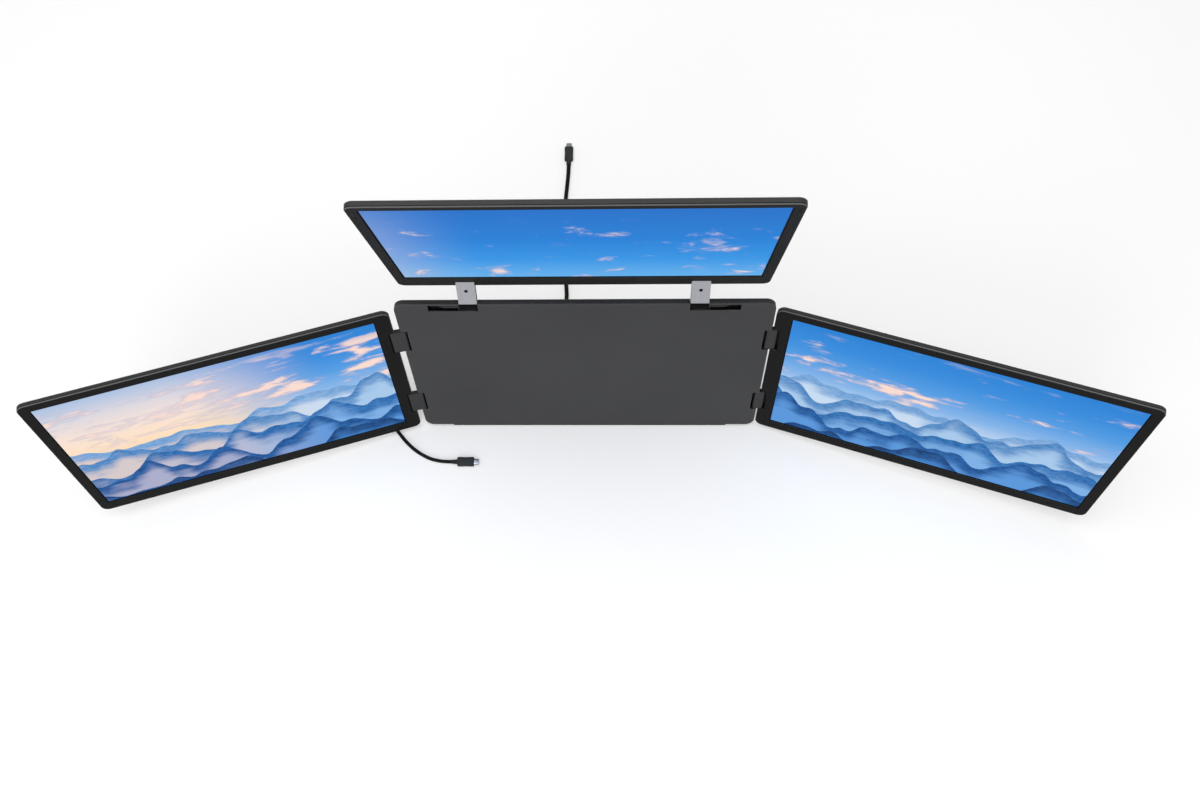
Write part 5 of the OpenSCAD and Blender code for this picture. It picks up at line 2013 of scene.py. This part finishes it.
@dataclass(frozen=True)
class Studio:
    """The floor, the lamps, the world and the camera."""

    floor_w: float = 30.0           # metres
    ambient: float = 0.5            # strength of the surrounding light on the object
    lamps: tuple[Softbox, ...] = (
        Softbox("overhead_softbox", (-0.15, 0.1, 2.6), 2.2, 46.0),
        Softbox("front_softbox", (-0.6, -2.2, 1.8), 1.6, 16.0),
    )
    lamp_target: Point = (0.0, 0.0, 0.15)       # metres
    camera_at: Point = (42.06, -451.37, 1452.41)
    pitch: float = 72.13            # below the horizon
    yaw: float = -7.51
    roll: float = -7.17
    lens: float = 32.516
    sensor_w: float = 36.0
    shift: Pair = (0.0204, 0.01155)
    clip: Pair = (0.05, 50.0)       # metres

    def build(self) -> None:
        """Sets up everything round the object."""
        bpy.context.scene.view_settings.view_transform = "Standard"
        self.add_floor()
        self.add_world()
        for lamp in self.lamps:
            lamp.build(self.lamp_target)
        self.add_camera()

    def add_floor(self) -> None:
        """Adds the floor at the table's height."""
        half = self.floor_w / 2
        corners = [(-half, -half, 0), (half, -half, 0), (half, half, 0), (-half, half, 0)]
        mesh = bpy.data.meshes.new("studio_floor")
        mesh.from_pydata(corners, [], [(0, 1, 2, 3)])
        mesh.materials.append(StudioFloor("pale_paper_floor").material())
        add_object("studio_floor", mesh)

    def add_world(self) -> None:
        """Adds an even surrounding light that looks white to the camera."""
        world = bpy.data.worlds.new("studio_world")
        world.use_nodes = True
        tree = world.node_tree
        tree.nodes.clear()
        rays = add_node(tree, "ShaderNodeLightPath").outputs
        strength = add_node(tree, "ShaderNodeMapRange", {
            "Value": rays["Is Camera Ray"], "To Min": self.ambient, "To Max": 1.0,
        })
        light = add_node(tree, "ShaderNodeBackground", {"Color": WHITE, "Strength": strength})
        add_node(tree, "ShaderNodeOutputWorld", {"Surface": light})
        bpy.context.scene.world = world

    def add_camera(self) -> None:
        """Adds the camera above the front edge, looking steeply down."""
        yaw, pitch, roll = (math.radians(a) for a in (self.yaw, self.pitch, self.roll))
        forward = Vector((math.sin(yaw) * math.cos(pitch), math.cos(yaw) * math.cos(pitch), -math.sin(pitch)))
        level = Vector((math.cos(yaw), -math.sin(yaw), 0.0))
        upright = level.cross(forward)
        right = math.cos(roll) * level + math.sin(roll) * upright
        up = -math.sin(roll) * level + math.cos(roll) * upright
        data = bpy.data.cameras.new("camera")
        data.sensor_width, data.lens = self.sensor_w, self.lens
        data.shift_x, data.shift_y = self.shift
        data.clip_start, data.clip_end = self.clip
        camera = add_object("camera", data)
        turn = Matrix((right, up, -forward)).transposed().to_4x4()
        camera.matrix_world = Matrix.Translation(Vector(self.camera_at) * MM) @ turn
        bpy.context.scene.camera = camera


def main() -> None:
    """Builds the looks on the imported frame."""
    logging.basicConfig(level=logging.INFO, format="%(name)s: %(message)s")
    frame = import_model()
    nodes, shown = frame["nodes"], pictures()
    groups = [
        CableSet(nodes), CentrePanel(nodes), SideHinge(nodes, Side.LEFT), SideHinge(nodes, Side.RIGHT),
        SideDisplay(nodes, shown["left"], Side.LEFT), SideDisplay(nodes, shown["right"], Side.RIGHT),
        TopArms(nodes), TopDisplay(nodes, shown["top"]), Kickstand(nodes), MenuKeys(nodes),
    ]
    for group in groups:
        for piece in group.build():
            log.info("%s: %s", type(group).__name__, piece.name)
    Studio().build()


if __name__ == "__main__":
    main()
